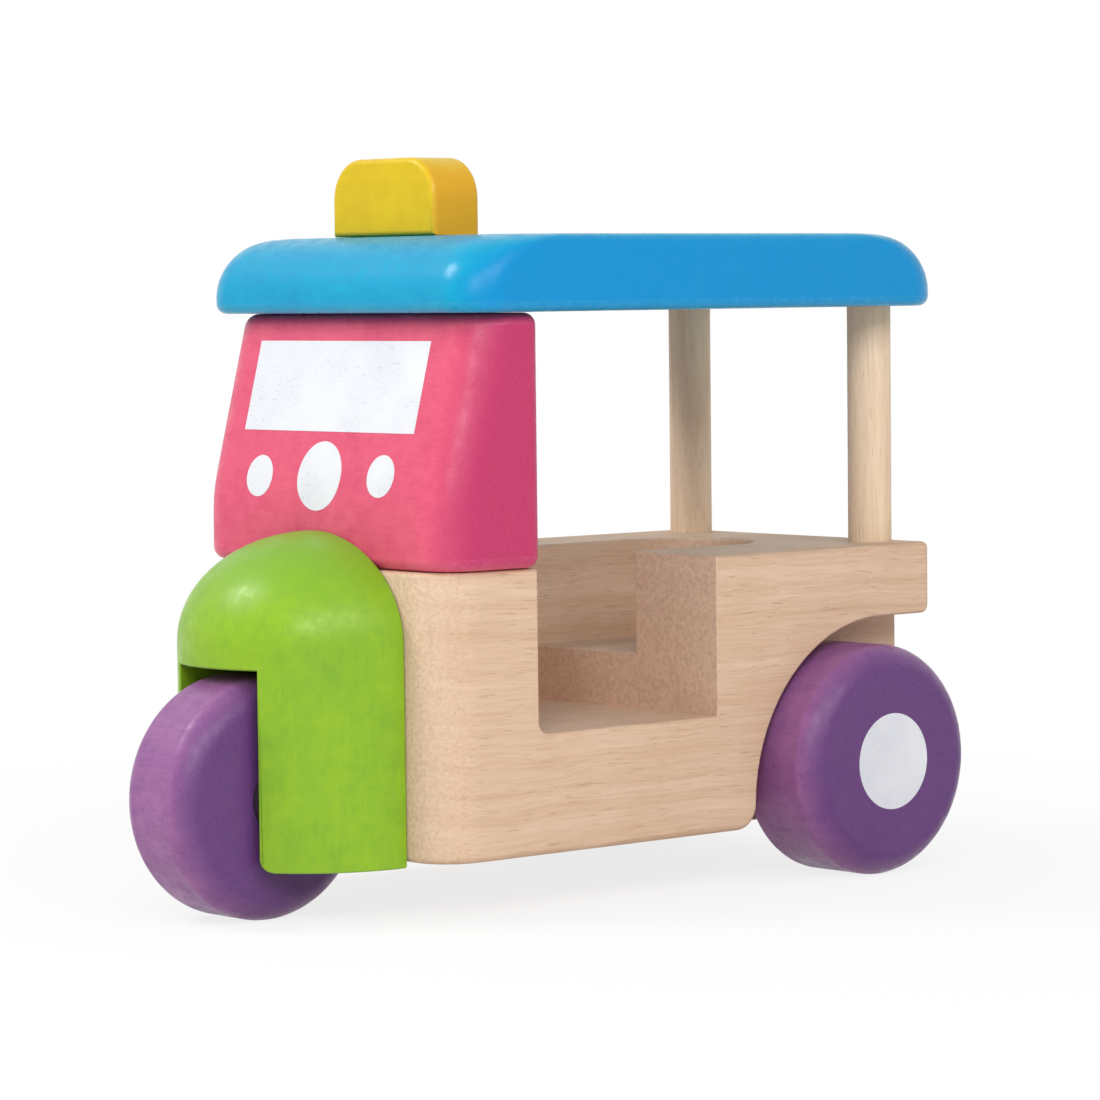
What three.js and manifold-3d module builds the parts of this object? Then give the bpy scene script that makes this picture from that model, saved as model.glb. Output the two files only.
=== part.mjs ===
// A toy auto rickshaw in wood: a three-wheeler with an open cabin under a roof board.
// Millimetres, +Z up. The front points along -X, and the door is on the left side, which faces -Y.
// Pieces are placed from the front face of the chassis, the middle of its width and the ground.

import * as THREE from 'three';
import { mergeVertices } from 'three/addons/utils/BufferGeometryUtils.js';
import Module from 'manifold-3d';

const wasm = await Module();
wasm.setup();

// Fits between pieces.
const GLUE_LINE = 0.1;
const DOWEL_FIT = 0.1;
const DOWEL_END_GAP = 0.5;
const RUNNING_FIT = 0.06;
const PRESS_FIT = 0.03;
const WASHER_FIT = 0.25;
const SIDE_PLAY = 0.1;

// Wheels, all three alike, apart from the rear ones' inner shoulder.
const WHEEL_DIAMETER = 50;
const WHEEL_WIDTH = 21.5;
const WHEEL_SHOULDER = 5.3;
const REAR_INNER_SHOULDER = 2;
const WHEEL_BORE_DEPTH = 15;

// Chassis block, from the ground up, from front to rear and from left to right.
const GROUND_CLEARANCE = 12;
const FLOOR_THICKNESS = 25;
const SEAT_RISE = 12;
const ARM_RISE = 22;
const FRONT_BLOCK = 26;
const DOOR_LENGTH = 50;
const SEAT_DEPTH = 45;
const REAR_WALL = 20;
const ARM_WIDTH = 26;
const SEAT_WIDTH = 33.5;
const WALL_WIDTH = 20.5;
const FRONT_CORNER = 10;
const REAR_CORNER = 2;
const CHASSIS_EDGE = 1.5;
const DOOR_CORNER = 2.5;

// Rear axle, its bushes and washers, and the wheel recesses.
const AXLE_FROM_REAR = 24.2;
const AXLE_DIAMETER = 6;
const AXLE_BORE_GAP = 0.5;
const BUSH_WALL = 1.5;
const BUSH_LENGTH = 18;
const REAR_WASHER = 1;
const WASHER_DIAMETER = 14;
const WHEEL_RECESS = 11;
const ARCH_GAP = 1.5;
const ARCH_BACK = 8.7;
const ARCH_DOWN = 8;
const ARCH_FOOT = 5;
const OVERHANG_EDGE = 3;

// Front fork, wheel pin and plug.
const FORK_CHEEK = 16;
const FORK_CLEARANCE = 10.9;
const FORK_CROWN = 4.3;
const FORK_DOME = 22.5;
const FORK_EDGE = 2;
const WHEEL_HEADROOM = 1.7;
const WHEEL_POCKET_GAP = 2;
const PIN_AHEAD = 18.6;
const PIN_DIAMETER = 5;
const PIN_SEAT = 5;
const FRONT_WASHER = 1.85;
const PLUG_DIAMETER = 7;

// Cab block with its sloping windscreen.
const CAB_HEIGHT = 51.8;
const CAB_SETBACK = 9.9;
const CAB_BEND_HEIGHT = 14;
const CAB_BEND_SOFTNESS = 5;
const CAB_PROUD = 1.7;
const CAB_FRONT_CORNER = 10;
const CAB_REAR_CORNER = 2.8;
const CAB_EDGE = 2.5;

// Roof board, posts and sign.
const ROOF_THICKNESS = 15.8;
const ROOF_PAST_FRONT = 5.3;
const ROOF_SHORT_REAR = 0.3;
const ROOF_PAST_SIDE = 5.2;
const ROOF_CORNER = 9.5;
const ROOF_TOP_CORNER = 16;
const ROOF_NOSE_LENGTH = 14;
const ROOF_NOSE_HEIGHT = 12.6;
const ROOF_EDGE = 2.5;
const POST_DIAMETER = 9.6;
const POST_FROM_REAR = 8;
const POST_FROM_SIDE = 11;
const POST_SOCKET = 11;
const ROOF_SOCKET = 9;
const SIGN_LENGTH = 12.6;
const SIGN_WIDTH = 33.4;
const SIGN_HEIGHT = 16.1;
const SIGN_CORNER = 8.5;
const SIGN_EDGE = 1.2;
const SIGN_SETBACK = 14.2;

// Dowels, each half in one piece and half in the other.
const DOWEL_DIAMETER = 8;
const DOWEL_LENGTH = 20;
const PEG_DIAMETER = 5;
const PEG_LENGTH = 16;
const CAB_DOWEL_SPACING = 40;
const SIGN_PEG_SPACING = 18;
const FORK_DOWEL_DROP = 9;
const FORK_DOWEL_HEIGHT = 32;

// Fineness of round shapes, and how far a cut runs past the face that it opens.
const ROUND_SIDES = 48;
const PIN_SIDES = 24;
const CORNER_STEPS = 6;
const EDGE_STEPS = 3;
const NOSE_STEPS = 6;
const CURVE_STEPS = 9;
const CUT_PAST = 2;

// Places that several pieces share.
const wheelRadius = WHEEL_DIAMETER / 2;
const floorZ = GROUND_CLEARANCE + FLOOR_THICKNESS;
const seatZ = floorZ + SEAT_RISE;
const deckZ = seatZ + ARM_RISE;
const chassisHeight = deckZ - GROUND_CLEARANCE;
const seatX = FRONT_BLOCK + DOOR_LENGTH;
const chassisLength = seatX + SEAT_DEPTH + REAR_WALL;
const chassisHalf = (ARM_WIDTH + SEAT_WIDTH + WALL_WIDTH) / 2;
const armY = ARM_WIDTH - chassisHalf;
const wallY = chassisHalf - WALL_WIDTH;
const recessY = chassisHalf - WHEEL_RECESS;
const axleX = chassisLength - AXLE_FROM_REAR;
const axleRadius = AXLE_DIAMETER / 2;
const rearWheelY = recessY + REAR_WASHER + 2 * SIDE_PLAY + WHEEL_WIDTH / 2;
const bushRadius = axleRadius + RUNNING_FIT + BUSH_WALL;

const pinRadius = PIN_DIAMETER / 2;
const slotHalf = WHEEL_WIDTH / 2 + FRONT_WASHER + 2 * SIDE_PLAY;
const slotZ = WHEEL_DIAMETER + WHEEL_HEADROOM;
const forkRadius = slotHalf + FORK_CHEEK;
const domeZ = slotZ + FORK_CROWN;
const pinReach = slotHalf + PIN_SEAT;
const forkDowelY = slotHalf + FORK_CHEEK / 2;
const forkDowelZ = deckZ - FORK_DOWEL_DROP;

const cabZ = deckZ + GLUE_LINE;
const cabDowelX = FRONT_BLOCK / 2;
const roofDowelX = (CAB_SETBACK + FRONT_BLOCK) / 2;
const roofZ = cabZ + CAB_HEIGHT + GLUE_LINE;
const roofX = CAB_SETBACK - ROOF_PAST_FRONT;
const roofLength = chassisLength - ROOF_SHORT_REAR - roofX;
const roofHalf = chassisHalf + ROOF_PAST_SIDE;
const postX = chassisLength - POST_FROM_REAR;
const postY = chassisHalf - POST_FROM_SIDE;
const signX = roofX + SIGN_SETBACK;
const signZ = roofZ + ROOF_THICKNESS + GLUE_LINE;

const SIDES = [['left', -1], ['right', 1]];

// A closed geometry as a solid that can be cut, without the flat triangles at the poles of a turned shape.
function solid(geometry) {
  const bare = geometry.clone();
  bare.deleteAttribute('normal');
  bare.deleteAttribute('uv');
  const merged = mergeVertices(bare);
  const corners = merged.index.array;
  const kept = [];
  for (let first = 0; first < corners.length; first += 3) {
    const [a, b, c] = corners.slice(first, first + 3);
    if (a !== b && b !== c && c !== a) {
      kept.push(a, b, c);
    }
  }
  return new wasm.Manifold(new wasm.Mesh({
    numProp: 3,
    vertProperties: new Float32Array(merged.attributes.position.array),
    triVerts: new Uint32Array(kept),
  }));
}

// A solid less each of the cutters, as a geometry.
function cut(geometry, cutters = []) {
  let body = solid(geometry);
  for (const cutter of cutters) {
    body = body.subtract(solid(cutter));
  }
  return shapeOf(body);
}

function shapeOf(body) {
  const mesh = body.getMesh();
  const geometry = new THREE.BufferGeometry();
  geometry.setAttribute('position', new THREE.BufferAttribute(mesh.vertProperties, 3));
  geometry.setIndex(new THREE.BufferAttribute(mesh.triVerts, 1));
  geometry.computeVertexNormals();
  return geometry;
}

// A round bar along one axis, from start to end, through the other two coordinates of a point.
function bar(axis, radius, start, end, through = new THREE.Vector3(), sides = PIN_SIDES) {
  const geometry = new THREE.CylinderGeometry(radius, radius, end - start, sides);
  if (axis === 'x') {
    geometry.rotateZ(-Math.PI / 2);
  }
  if (axis === 'z') {
    geometry.rotateX(Math.PI / 2);
  }
  const middle = through.clone();
  middle[axis] = (start + end) / 2;
  return geometry.translate(middle.x, middle.y, middle.z);
}

// A plain box between two corners.
function box(low, high) {
  const size = high.clone().sub(low);
  const middle = high.clone().add(low).divideScalar(2);
  return new THREE.BoxGeometry(size.x, size.y, size.z).translate(middle.x, middle.y, middle.z);
}

// An outline drawn in X and Z, as a plate between two Y values.
function plate(outline, startY, endY) {
  const options = { depth: endY - startY, bevelEnabled: false, curveSegments: CURVE_STEPS };
  return new THREE.ExtrudeGeometry(outline, options).rotateX(Math.PI / 2).translate(0, endY, 0);
}

// A rectangle with round corners at one height, anticlockwise from above.
function ring({ front, rear, half, frontRadius, rearRadius, z }) {
  const corners = [
    [front + frontRadius, frontRadius - half, frontRadius, Math.PI],
    [rear - rearRadius, rearRadius - half, rearRadius, Math.PI * 1.5],
    [rear - rearRadius, half - rearRadius, rearRadius, 0],
    [front + frontRadius, half - frontRadius, frontRadius, Math.PI / 2],
  ];
  const points = [];
  for (const [x, y, radius, start] of corners) {
    for (let step = 0; step <= CORNER_STEPS; step++) {
      const angle = start + (step / CORNER_STEPS) * (Math.PI / 2);
      points.push(new THREE.Vector3(x + radius * Math.cos(angle), y + radius * Math.sin(angle), z));
    }
  }
  return points;
}

// A closed block through rings of points that lie above each other.
function loft(rings) {
  const count = rings[0].length;
  const points = rings.flat();
  const faces = [];
  for (let low = 0; low < points.length - count; low += count) {
    for (let i = 0; i < count; i++) {
      const next = (i + 1) % count;
      faces.push(low + i, low + next, low + count + next);
      faces.push(low + i, low + count + next, low + count + i);
    }
  }
  const top = points.length - count;
  for (let i = 1; i < count - 1; i++) {
    faces.push(0, i + 1, i);
    faces.push(top, top + i, top + i + 1);
  }
  const geometry = new THREE.BufferGeometry().setFromPoints(points);
  geometry.setIndex(faces);
  return geometry;
}

// The heights of a block's rings, with the inset that rounds its lower and upper edges.
function roundedLevels(height, edge) {
  const lower = [];
  for (let step = 0; step <= EDGE_STEPS; step++) {
    const turn = (step / EDGE_STEPS) * (Math.PI / 2);
    lower.push({ z: edge * (1 - Math.cos(turn)), inset: edge * (1 - Math.sin(turn)) });
  }
  const upper = lower.map(({ z, inset }) => ({ z: height - z, inset })).reverse();
  return [...lower, ...upper];
}

// A profile of radius and height turned about a standing axis.
function turned(profile, sides = ROUND_SIDES) {
  const points = profile.map(([radius, height]) => new THREE.Vector2(radius, height));
  return new THREE.LatheGeometry(points, sides);
}

// Points on a quarter circle, from one angle to another.
function arc(centreX, centreY, radius, startAngle, endAngle, steps) {
  const points = [];
  for (let step = 0; step <= steps; step++) {
    const angle = startAngle + (step / steps) * (endAngle - startAngle);
    points.push([centreX + radius * Math.cos(angle), centreY + radius * Math.sin(angle)]);
  }
  return points;
}

// The chassis block.

// The space around a rear wheel: a round arch with a rounded foot, running out under the rear overhang.
function wheelRecess(startY, endY) {
  const radius = wheelRadius + ARCH_GAP + Math.hypot(ARCH_BACK, ARCH_DOWN);
  const archX = axleX + ARCH_BACK;
  const archZ = wheelRadius - ARCH_DOWN;
  const footZ = GROUND_CLEARANCE + ARCH_FOOT;
  const footX = archX - Math.sqrt((radius + ARCH_FOOT) ** 2 - (footZ - archZ) ** 2);
  const meet = Math.atan2(archZ - footZ, archX - footX);
  const past = chassisLength + CUT_PAST;
  const below = GROUND_CLEARANCE - CUT_PAST;
  const outline = new THREE.Shape();
  outline.moveTo(footX, below);
  outline.lineTo(footX, GROUND_CLEARANCE);
  outline.absarc(footX, footZ, ARCH_FOOT, -Math.PI / 2, meet, false);
  outline.absarc(archX, archZ, radius, meet + Math.PI, Math.PI / 2, true);
  outline.lineTo(chassisLength - OVERHANG_EDGE, archZ + radius);
  const edgeZ = archZ + radius + OVERHANG_EDGE;
  outline.absarc(chassisLength - OVERHANG_EDGE, edgeZ, OVERHANG_EDGE, -Math.PI / 2, 0, false);
  outline.lineTo(past, edgeZ);
  outline.lineTo(past, below);
  return plate(outline, startY, endY);
}

// The door notch and footwell, open to the left, with a rounded corner at its front foot.
function footwell() {
  const outline = new THREE.Shape();
  outline.moveTo(seatX, floorZ);
  outline.lineTo(seatX, deckZ + CUT_PAST);
  outline.lineTo(FRONT_BLOCK, deckZ + CUT_PAST);
  outline.lineTo(FRONT_BLOCK, floorZ + DOOR_CORNER);
  outline.absarc(FRONT_BLOCK + DOOR_CORNER, floorZ + DOOR_CORNER, DOOR_CORNER, Math.PI, Math.PI * 1.5, false);
  return plate(outline, -chassisHalf - CUT_PAST, wallY);
}

// The seat hollow behind the footwell, with a round rear end.
function seatHollow() {
  const radius = SEAT_WIDTH / 2;
  const endX = seatX + SEAT_DEPTH - radius;
  const outline = new THREE.Shape();
  outline.moveTo(seatX - CUT_PAST, armY);
  outline.lineTo(endX, armY);
  outline.absarc(endX, armY + radius, radius, -Math.PI / 2, Math.PI / 2, false);
  outline.lineTo(seatX - CUT_PAST, wallY);
  const options = { depth: ARM_RISE + CUT_PAST, bevelEnabled: false, curveSegments: CURVE_STEPS };
  return new THREE.ExtrudeGeometry(outline, options).translate(0, 0, seatZ);
}

function dowelHole(axis, diameter, start, end, through) {
  return bar(axis, diameter / 2 + DOWEL_FIT, start, end, through);
}

function chassisBlock() {
  const rings = roundedLevels(chassisHeight, CHASSIS_EDGE).map(({ z, inset }) => ring({
    front: inset,
    rear: chassisLength - inset,
    half: chassisHalf - inset,
    frontRadius: FRONT_CORNER - inset,
    rearRadius: REAR_CORNER - inset,
    z: GROUND_CLEARANCE + z,
  }));
  const axleLine = new THREE.Vector3(axleX, 0, wheelRadius);
  const wheelLine = new THREE.Vector3(-PIN_AHEAD, 0, wheelRadius);
  const boreEnd = recessY + CUT_PAST;
  const bushEnd = recessY - BUSH_LENGTH - DOWEL_END_GAP;
  const dowelDepth = DOWEL_LENGTH / 2 + DOWEL_END_GAP;
  const cutters = [
    footwell(),
    seatHollow(),
    wheelRecess(recessY, chassisHalf + CUT_PAST),
    wheelRecess(-chassisHalf - CUT_PAST, -recessY),
    bar('y', axleRadius + AXLE_BORE_GAP, -boreEnd, boreEnd, axleLine),
    bar('y', wheelRadius + WHEEL_POCKET_GAP, -slotHalf, slotHalf, wheelLine, ROUND_SIDES),
    dowelHole('x', DOWEL_DIAMETER, -CUT_PAST, dowelDepth, new THREE.Vector3(0, 0, forkDowelZ)),
  ];
  for (const [, side] of SIDES) {
    const [bushStart, bushStop] = [side * bushEnd, side * boreEnd].sort((a, b) => a - b);
    const cabDowel = new THREE.Vector3(cabDowelX, side * CAB_DOWEL_SPACING / 2, 0);
    const post = new THREE.Vector3(postX, side * postY, 0);
    const forkDowel = new THREE.Vector3(0, side * forkDowelY, FORK_DOWEL_HEIGHT);
    cutters.push(
      bar('y', bushRadius + DOWEL_FIT, bushStart, bushStop, axleLine),
      dowelHole('z', DOWEL_DIAMETER, deckZ - dowelDepth, deckZ + CUT_PAST, cabDowel),
      dowelHole('z', POST_DIAMETER, deckZ - POST_SOCKET - DOWEL_END_GAP, deckZ + CUT_PAST, post),
      dowelHole('x', DOWEL_DIAMETER, -CUT_PAST, dowelDepth, forkDowel),
    );
  }
  return cut(loft(rings), cutters);
}

// The cab block.

// How far the windscreen face lies behind the cab's front at a height, with a soft bend where it starts.
function windscreenSetback(z) {
  const slope = CAB_SETBACK / (CAB_HEIGHT - CAB_BEND_HEIGHT);
  const above = z - CAB_BEND_HEIGHT;
  if (Math.abs(above) < CAB_BEND_SOFTNESS) {
    return slope * (above + CAB_BEND_SOFTNESS) ** 2 / (4 * CAB_BEND_SOFTNESS);
  }
  return Math.max(0, slope * above);
}

function cabBlock() {
  const levels = roundedLevels(CAB_HEIGHT, CAB_EDGE);
  for (const share of [-1, -0.5, 0, 0.5, 1]) {
    levels.push({ z: CAB_BEND_HEIGHT + share * CAB_BEND_SOFTNESS, inset: 0 });
  }
  levels.sort((a, b) => a.z - b.z);
  const rings = levels.map(({ z, inset }) => ring({
    front: windscreenSetback(z) + inset,
    rear: FRONT_BLOCK - inset,
    half: chassisHalf + CAB_PROUD - inset,
    frontRadius: CAB_FRONT_CORNER - inset,
    rearRadius: CAB_REAR_CORNER - inset,
    z,
  }));
  const depth = DOWEL_LENGTH / 2 + DOWEL_END_GAP;
  const cutters = [];
  for (const [, side] of SIDES) {
    const lower = new THREE.Vector3(cabDowelX, side * CAB_DOWEL_SPACING / 2, 0);
    const upper = new THREE.Vector3(roofDowelX, side * CAB_DOWEL_SPACING / 2, 0);
    cutters.push(
      dowelHole('z', DOWEL_DIAMETER, -CUT_PAST, depth, lower),
      dowelHole('z', DOWEL_DIAMETER, CAB_HEIGHT - depth, CAB_HEIGHT + CUT_PAST, upper),
    );
  }
  return cut(loft(rings), cutters);
}

// The roof board, from its own front edge and underside.

function roofBoard() {
  const levels = roundedLevels(ROOF_THICKNESS, ROOF_EDGE).slice(0, EDGE_STEPS + 1);
  const rings = levels.map(({ z, inset }) => ({ z, nose: inset, side: inset }));
  const sideStart = ROOF_THICKNESS - ROOF_EDGE;
  for (let step = 0; step <= NOSE_STEPS; step++) {
    const turn = (step / NOSE_STEPS) * (Math.PI / 2);
    const z = ROOF_THICKNESS - ROOF_NOSE_HEIGHT * (1 - Math.sin(turn));
    const nose = ROOF_NOSE_LENGTH * (1 - Math.cos(turn));
    const rise = Math.min(ROOF_EDGE, Math.max(0, z - sideStart));
    rings.push({ z, nose, side: ROOF_EDGE - Math.sqrt(ROOF_EDGE ** 2 - rise ** 2) });
  }
  const board = loft(rings.map(({ z, nose, side }) => {
    const corner = ROOF_CORNER + (ROOF_TOP_CORNER - ROOF_CORNER) * nose / ROOF_NOSE_LENGTH;
    return ring({
      front: nose,
      rear: roofLength - nose,
      half: roofHalf - side,
      frontRadius: corner,
      rearRadius: corner,
      z,
    });
  }));
  const pegDepth = PEG_LENGTH / 2 + DOWEL_END_GAP;
  const cutters = [];
  for (const [, side] of SIDES) {
    const dowel = new THREE.Vector3(roofDowelX - roofX, side * CAB_DOWEL_SPACING / 2, 0);
    const post = new THREE.Vector3(postX - roofX, side * postY, 0);
    const peg = new THREE.Vector3(SIGN_SETBACK + SIGN_LENGTH / 2, side * SIGN_PEG_SPACING / 2, 0);
    cutters.push(
      dowelHole('z', DOWEL_DIAMETER, -CUT_PAST, DOWEL_LENGTH / 2 + DOWEL_END_GAP, dowel),
      dowelHole('z', POST_DIAMETER, -CUT_PAST, ROOF_SOCKET + DOWEL_END_GAP, post),
      dowelHole('z', PEG_DIAMETER, ROOF_THICKNESS - pegDepth, ROOF_THICKNESS + CUT_PAST, peg),
    );
  }
  return cut(board, cutters);
}

// The roof sign: an outline in Y and Z with round upper corners, as long as the sign along X.

function roofSign() {
  const half = SIGN_WIDTH / 2 - SIGN_EDGE;
  const low = SIGN_EDGE;
  const high = SIGN_HEIGHT - SIGN_EDGE;
  const radius = SIGN_CORNER - SIGN_EDGE;
  const outline = new THREE.Shape();
  outline.moveTo(-half, low);
  outline.lineTo(half, low);
  outline.absarc(half - radius, high - radius, radius, 0, Math.PI / 2, false);
  outline.absarc(radius - half, high - radius, radius, Math.PI / 2, Math.PI, false);
  const block = new THREE.ExtrudeGeometry(outline, {
    depth: SIGN_LENGTH - 2 * SIGN_EDGE,
    bevelSize: SIGN_EDGE,
    bevelThickness: SIGN_EDGE,
    bevelSegments: EDGE_STEPS,
    curveSegments: EDGE_STEPS,
  });
  const along = new THREE.Vector3(1, 0, 0);
  const across = new THREE.Vector3(0, 1, 0);
  const up = new THREE.Vector3(0, 0, 1);
  block.applyMatrix4(new THREE.Matrix4().makeBasis(across, up, along));
  block.translate(SIGN_EDGE, 0, 0);
  const cutters = SIDES.map(([, side]) => {
    const peg = new THREE.Vector3(SIGN_LENGTH / 2, side * SIGN_PEG_SPACING / 2, 0);
    return dowelHole('z', PEG_DIAMETER, -CUT_PAST, PEG_LENGTH / 2 + DOWEL_END_GAP, peg);
  });
  return cut(block, cutters);
}

// The front fork: half of a domed round block, about its standing axis in the chassis's front face.

function forkRound() {
  const quarter = Math.PI / 2;
  const foot = arc(forkRadius - FORK_EDGE, FORK_CLEARANCE + FORK_EDGE, FORK_EDGE, -quarter, 0, EDGE_STEPS);
  const dome = arc(0, 0, 1, 0, quarter, CURVE_STEPS).map(([across, up]) => (
    [forkRadius * across, domeZ + FORK_DOME * up]
  ));
  dome[CURVE_STEPS][0] = 0;
  return turned([[0, FORK_CLEARANCE], ...foot, ...dome]).rotateX(quarter);
}

function frontFork() {
  const pinLine = new THREE.Vector3(-PIN_AHEAD, 0, wheelRadius);
  const reach = forkRadius + CUT_PAST;
  const top = domeZ + FORK_DOME + CUT_PAST;
  const below = FORK_CLEARANCE - CUT_PAST;
  const dowelStart = -DOWEL_LENGTH / 2 - DOWEL_END_GAP;
  const cutters = [
    box(new THREE.Vector3(-GLUE_LINE, -reach, below), new THREE.Vector3(reach, reach, top)),
    box(new THREE.Vector3(-reach, -slotHalf, below), new THREE.Vector3(reach, slotHalf, slotZ)),
    dowelHole('y', PIN_DIAMETER, -pinReach - DOWEL_END_GAP, reach, pinLine),
    dowelHole('y', PLUG_DIAMETER, pinReach, reach, pinLine),
    dowelHole('x', DOWEL_DIAMETER, dowelStart, reach, new THREE.Vector3(0, 0, forkDowelZ)),
  ];
  for (const [, side] of SIDES) {
    const dowel = new THREE.Vector3(0, side * forkDowelY, FORK_DOWEL_HEIGHT);
    cutters.push(dowelHole('x', DOWEL_DIAMETER, dowelStart, reach, dowel));
  }
  return cut(forkRound(), cutters);
}

// The plug that closes the pin's hole, with its outer end on the fork's round side.
function axlePlug() {
  const pinLine = new THREE.Vector3(-PIN_AHEAD, 0, wheelRadius);
  const plug = bar('y', PLUG_DIAMETER / 2, pinReach + GLUE_LINE, forkRadius, pinLine);
  return shapeOf(solid(plug).intersect(solid(forkRound())));
}

// Wheels, turned about Y, with the outer face towards +Y.

function wheelRim(innerShoulder) {
  const half = WHEEL_WIDTH / 2;
  const quarter = Math.PI / 2;
  const steps = EDGE_STEPS + 1;
  const inner = arc(wheelRadius - innerShoulder, innerShoulder - half, innerShoulder, -quarter, 0, steps);
  const outer = arc(wheelRadius - WHEEL_SHOULDER, half - WHEEL_SHOULDER, WHEEL_SHOULDER, 0, quarter, steps);
  return [...inner, ...outer];
}

function frontWheel() {
  const half = WHEEL_WIDTH / 2;
  const bore = pinRadius + RUNNING_FIT;
  return cut(turned([[bore, -half], ...wheelRim(WHEEL_SHOULDER), [bore, half], [bore, -half]]));
}

function rearWheel() {
  const half = WHEEL_WIDTH / 2;
  const bore = axleRadius + PRESS_FIT;
  const boreEnd = WHEEL_BORE_DEPTH - half;
  const rim = wheelRim(REAR_INNER_SHOULDER);
  return cut(turned([[0, boreEnd], [bore, boreEnd], [bore, -half], ...rim, [0, half]]));
}

// A flat ring or sleeve about Y.
function sleeve(inner, outer, length) {
  const half = length / 2;
  const profile = [[inner, -half], [outer, -half], [outer, half], [inner, half], [inner, -half]];
  return cut(turned(profile, PIN_SIDES));
}

// Assembly.

const rickshaw = new THREE.Group();

function finish(color, roughness, metalness = 0) {
  return () => new THREE.MeshStandardMaterial({ color, roughness, metalness });
}

const plainWood = finish(0xd8b896, 0.6);
const pinkPaint = finish(0xd9487a, 0.45);
const bluePaint = finish(0x0f9fd8, 0.45);
const yellowPaint = finish(0xe0bf22, 0.45);
const greenPaint = finish(0x93c52f, 0.45);
const purplePaint = finish(0x6f4089, 0.45);
const steel = finish(0xb8bcc0, 0.3, 1);
const nylon = finish(0xe6e4dc, 0.5);

function add(name, geometry, material, x = 0, y = 0, z = 0) {
  const mesh = new THREE.Mesh(geometry, material());
  mesh.name = name;
  mesh.position.set(x, y, z);
  rickshaw.add(mesh);
  return mesh;
}

add('chassis_block', chassisBlock(), plainWood);
add('cab_block', cabBlock(), pinkPaint, 0, 0, cabZ);
add('roof_board', roofBoard(), bluePaint, roofX, 0, roofZ);
add('roof_sign', roofSign(), yellowPaint, signX, 0, signZ);
add('front_fork', frontFork(), greenPaint);

add('front_wheel', frontWheel(), purplePaint, -PIN_AHEAD, 0, wheelRadius);
add('front_axle', cut(bar('y', pinRadius, -pinReach, pinReach)), steel, -PIN_AHEAD, 0, wheelRadius);
add('front_axle_plug', axlePlug(), greenPaint);

const axleReach = rearWheelY - WHEEL_WIDTH / 2 + WHEEL_BORE_DEPTH - DOWEL_END_GAP;
add('rear_axle', cut(bar('y', axleRadius, -axleReach, axleReach)), steel, axleX, 0, wheelRadius);

const postStart = deckZ - POST_SOCKET;
const postEnd = roofZ + ROOF_SOCKET;
const dowelReach = DOWEL_LENGTH / 2;
const pegReach = PEG_LENGTH / 2;

for (const [name, side] of SIDES) {
  const frontWasherY = side * (WHEEL_WIDTH / 2 + SIDE_PLAY + FRONT_WASHER / 2);
  const frontWasher = sleeve(pinRadius + WASHER_FIT, WASHER_DIAMETER / 2, FRONT_WASHER);
  add(`front_washer_${name}`, frontWasher, nylon, -PIN_AHEAD, frontWasherY, wheelRadius);

  const wheel = add(`rear_wheel_${name}`, rearWheel(), purplePaint, axleX, side * rearWheelY, wheelRadius);
  wheel.rotation.z = side < 0 ? Math.PI : 0;

  const rearWasherY = side * (recessY + SIDE_PLAY + REAR_WASHER / 2);
  const rearWasher = sleeve(axleRadius + WASHER_FIT, WASHER_DIAMETER / 2, REAR_WASHER);
  add(`rear_washer_${name}`, rearWasher, nylon, axleX, rearWasherY, wheelRadius);

  const bushY = side * (recessY - BUSH_LENGTH / 2);
  const bush = sleeve(axleRadius + RUNNING_FIT, bushRadius, BUSH_LENGTH);
  add(`rear_bush_${name}`, bush, nylon, axleX, bushY, wheelRadius);

  const post = cut(bar('z', POST_DIAMETER / 2, postStart, postEnd));
  add(`post_${name}`, post, plainWood, postX, side * postY);

  const dowelY = side * CAB_DOWEL_SPACING / 2;
  const dowel = cut(bar('z', DOWEL_DIAMETER / 2, -dowelReach, dowelReach));
  add(`cab_dowel_${name}`, dowel, plainWood, cabDowelX, dowelY, deckZ);
  add(`roof_dowel_${name}`, dowel, plainWood, roofDowelX, dowelY, roofZ);

  const signPeg = cut(bar('z', PEG_DIAMETER / 2, -pegReach, pegReach));
  add(`sign_dowel_${name}`, signPeg, plainWood, signX + SIGN_LENGTH / 2, side * SIGN_PEG_SPACING / 2, signZ);

  const forkDowel = cut(bar('x', DOWEL_DIAMETER / 2, -dowelReach, dowelReach));
  add(`fork_dowel_${name}`, forkDowel, plainWood, 0, side * forkDowelY, FORK_DOWEL_HEIGHT);
}

const topDowel = cut(bar('x', DOWEL_DIAMETER / 2, -dowelReach, dowelReach));
add('fork_dowel_top', topDowel, plainWood, 0, 0, forkDowelZ);

// The origin is on the ground, under the middle of the object's length.
const frontEnd = -PIN_AHEAD - wheelRadius;
const rearEnd = Math.max(chassisLength, axleX + wheelRadius, roofX + roofLength);
rickshaw.position.x = -(frontEnd + rearEnd) / 2;

const toy = new THREE.Group();
toy.add(rickshaw);

export default toy;
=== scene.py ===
# %% [markdown]
# # A wooden three-wheeler
# The toy is a block of plain wood on three fat wheels, with a painted cab, a painted roof on two dowel
# posts, a small roof sign and a domed fork that holds the front wheel. The frame that is loaded here gives
# every piece its true size and place, in metres, with the ground at z = 0 and the front towards -X. Each
# piece that the eye can reach is then modelled again, with finer edges, at exactly the place that the frame
# gives.

# %% Load the frame
import math

import bmesh
import bpy
from mathutils import Matrix, Vector


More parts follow.
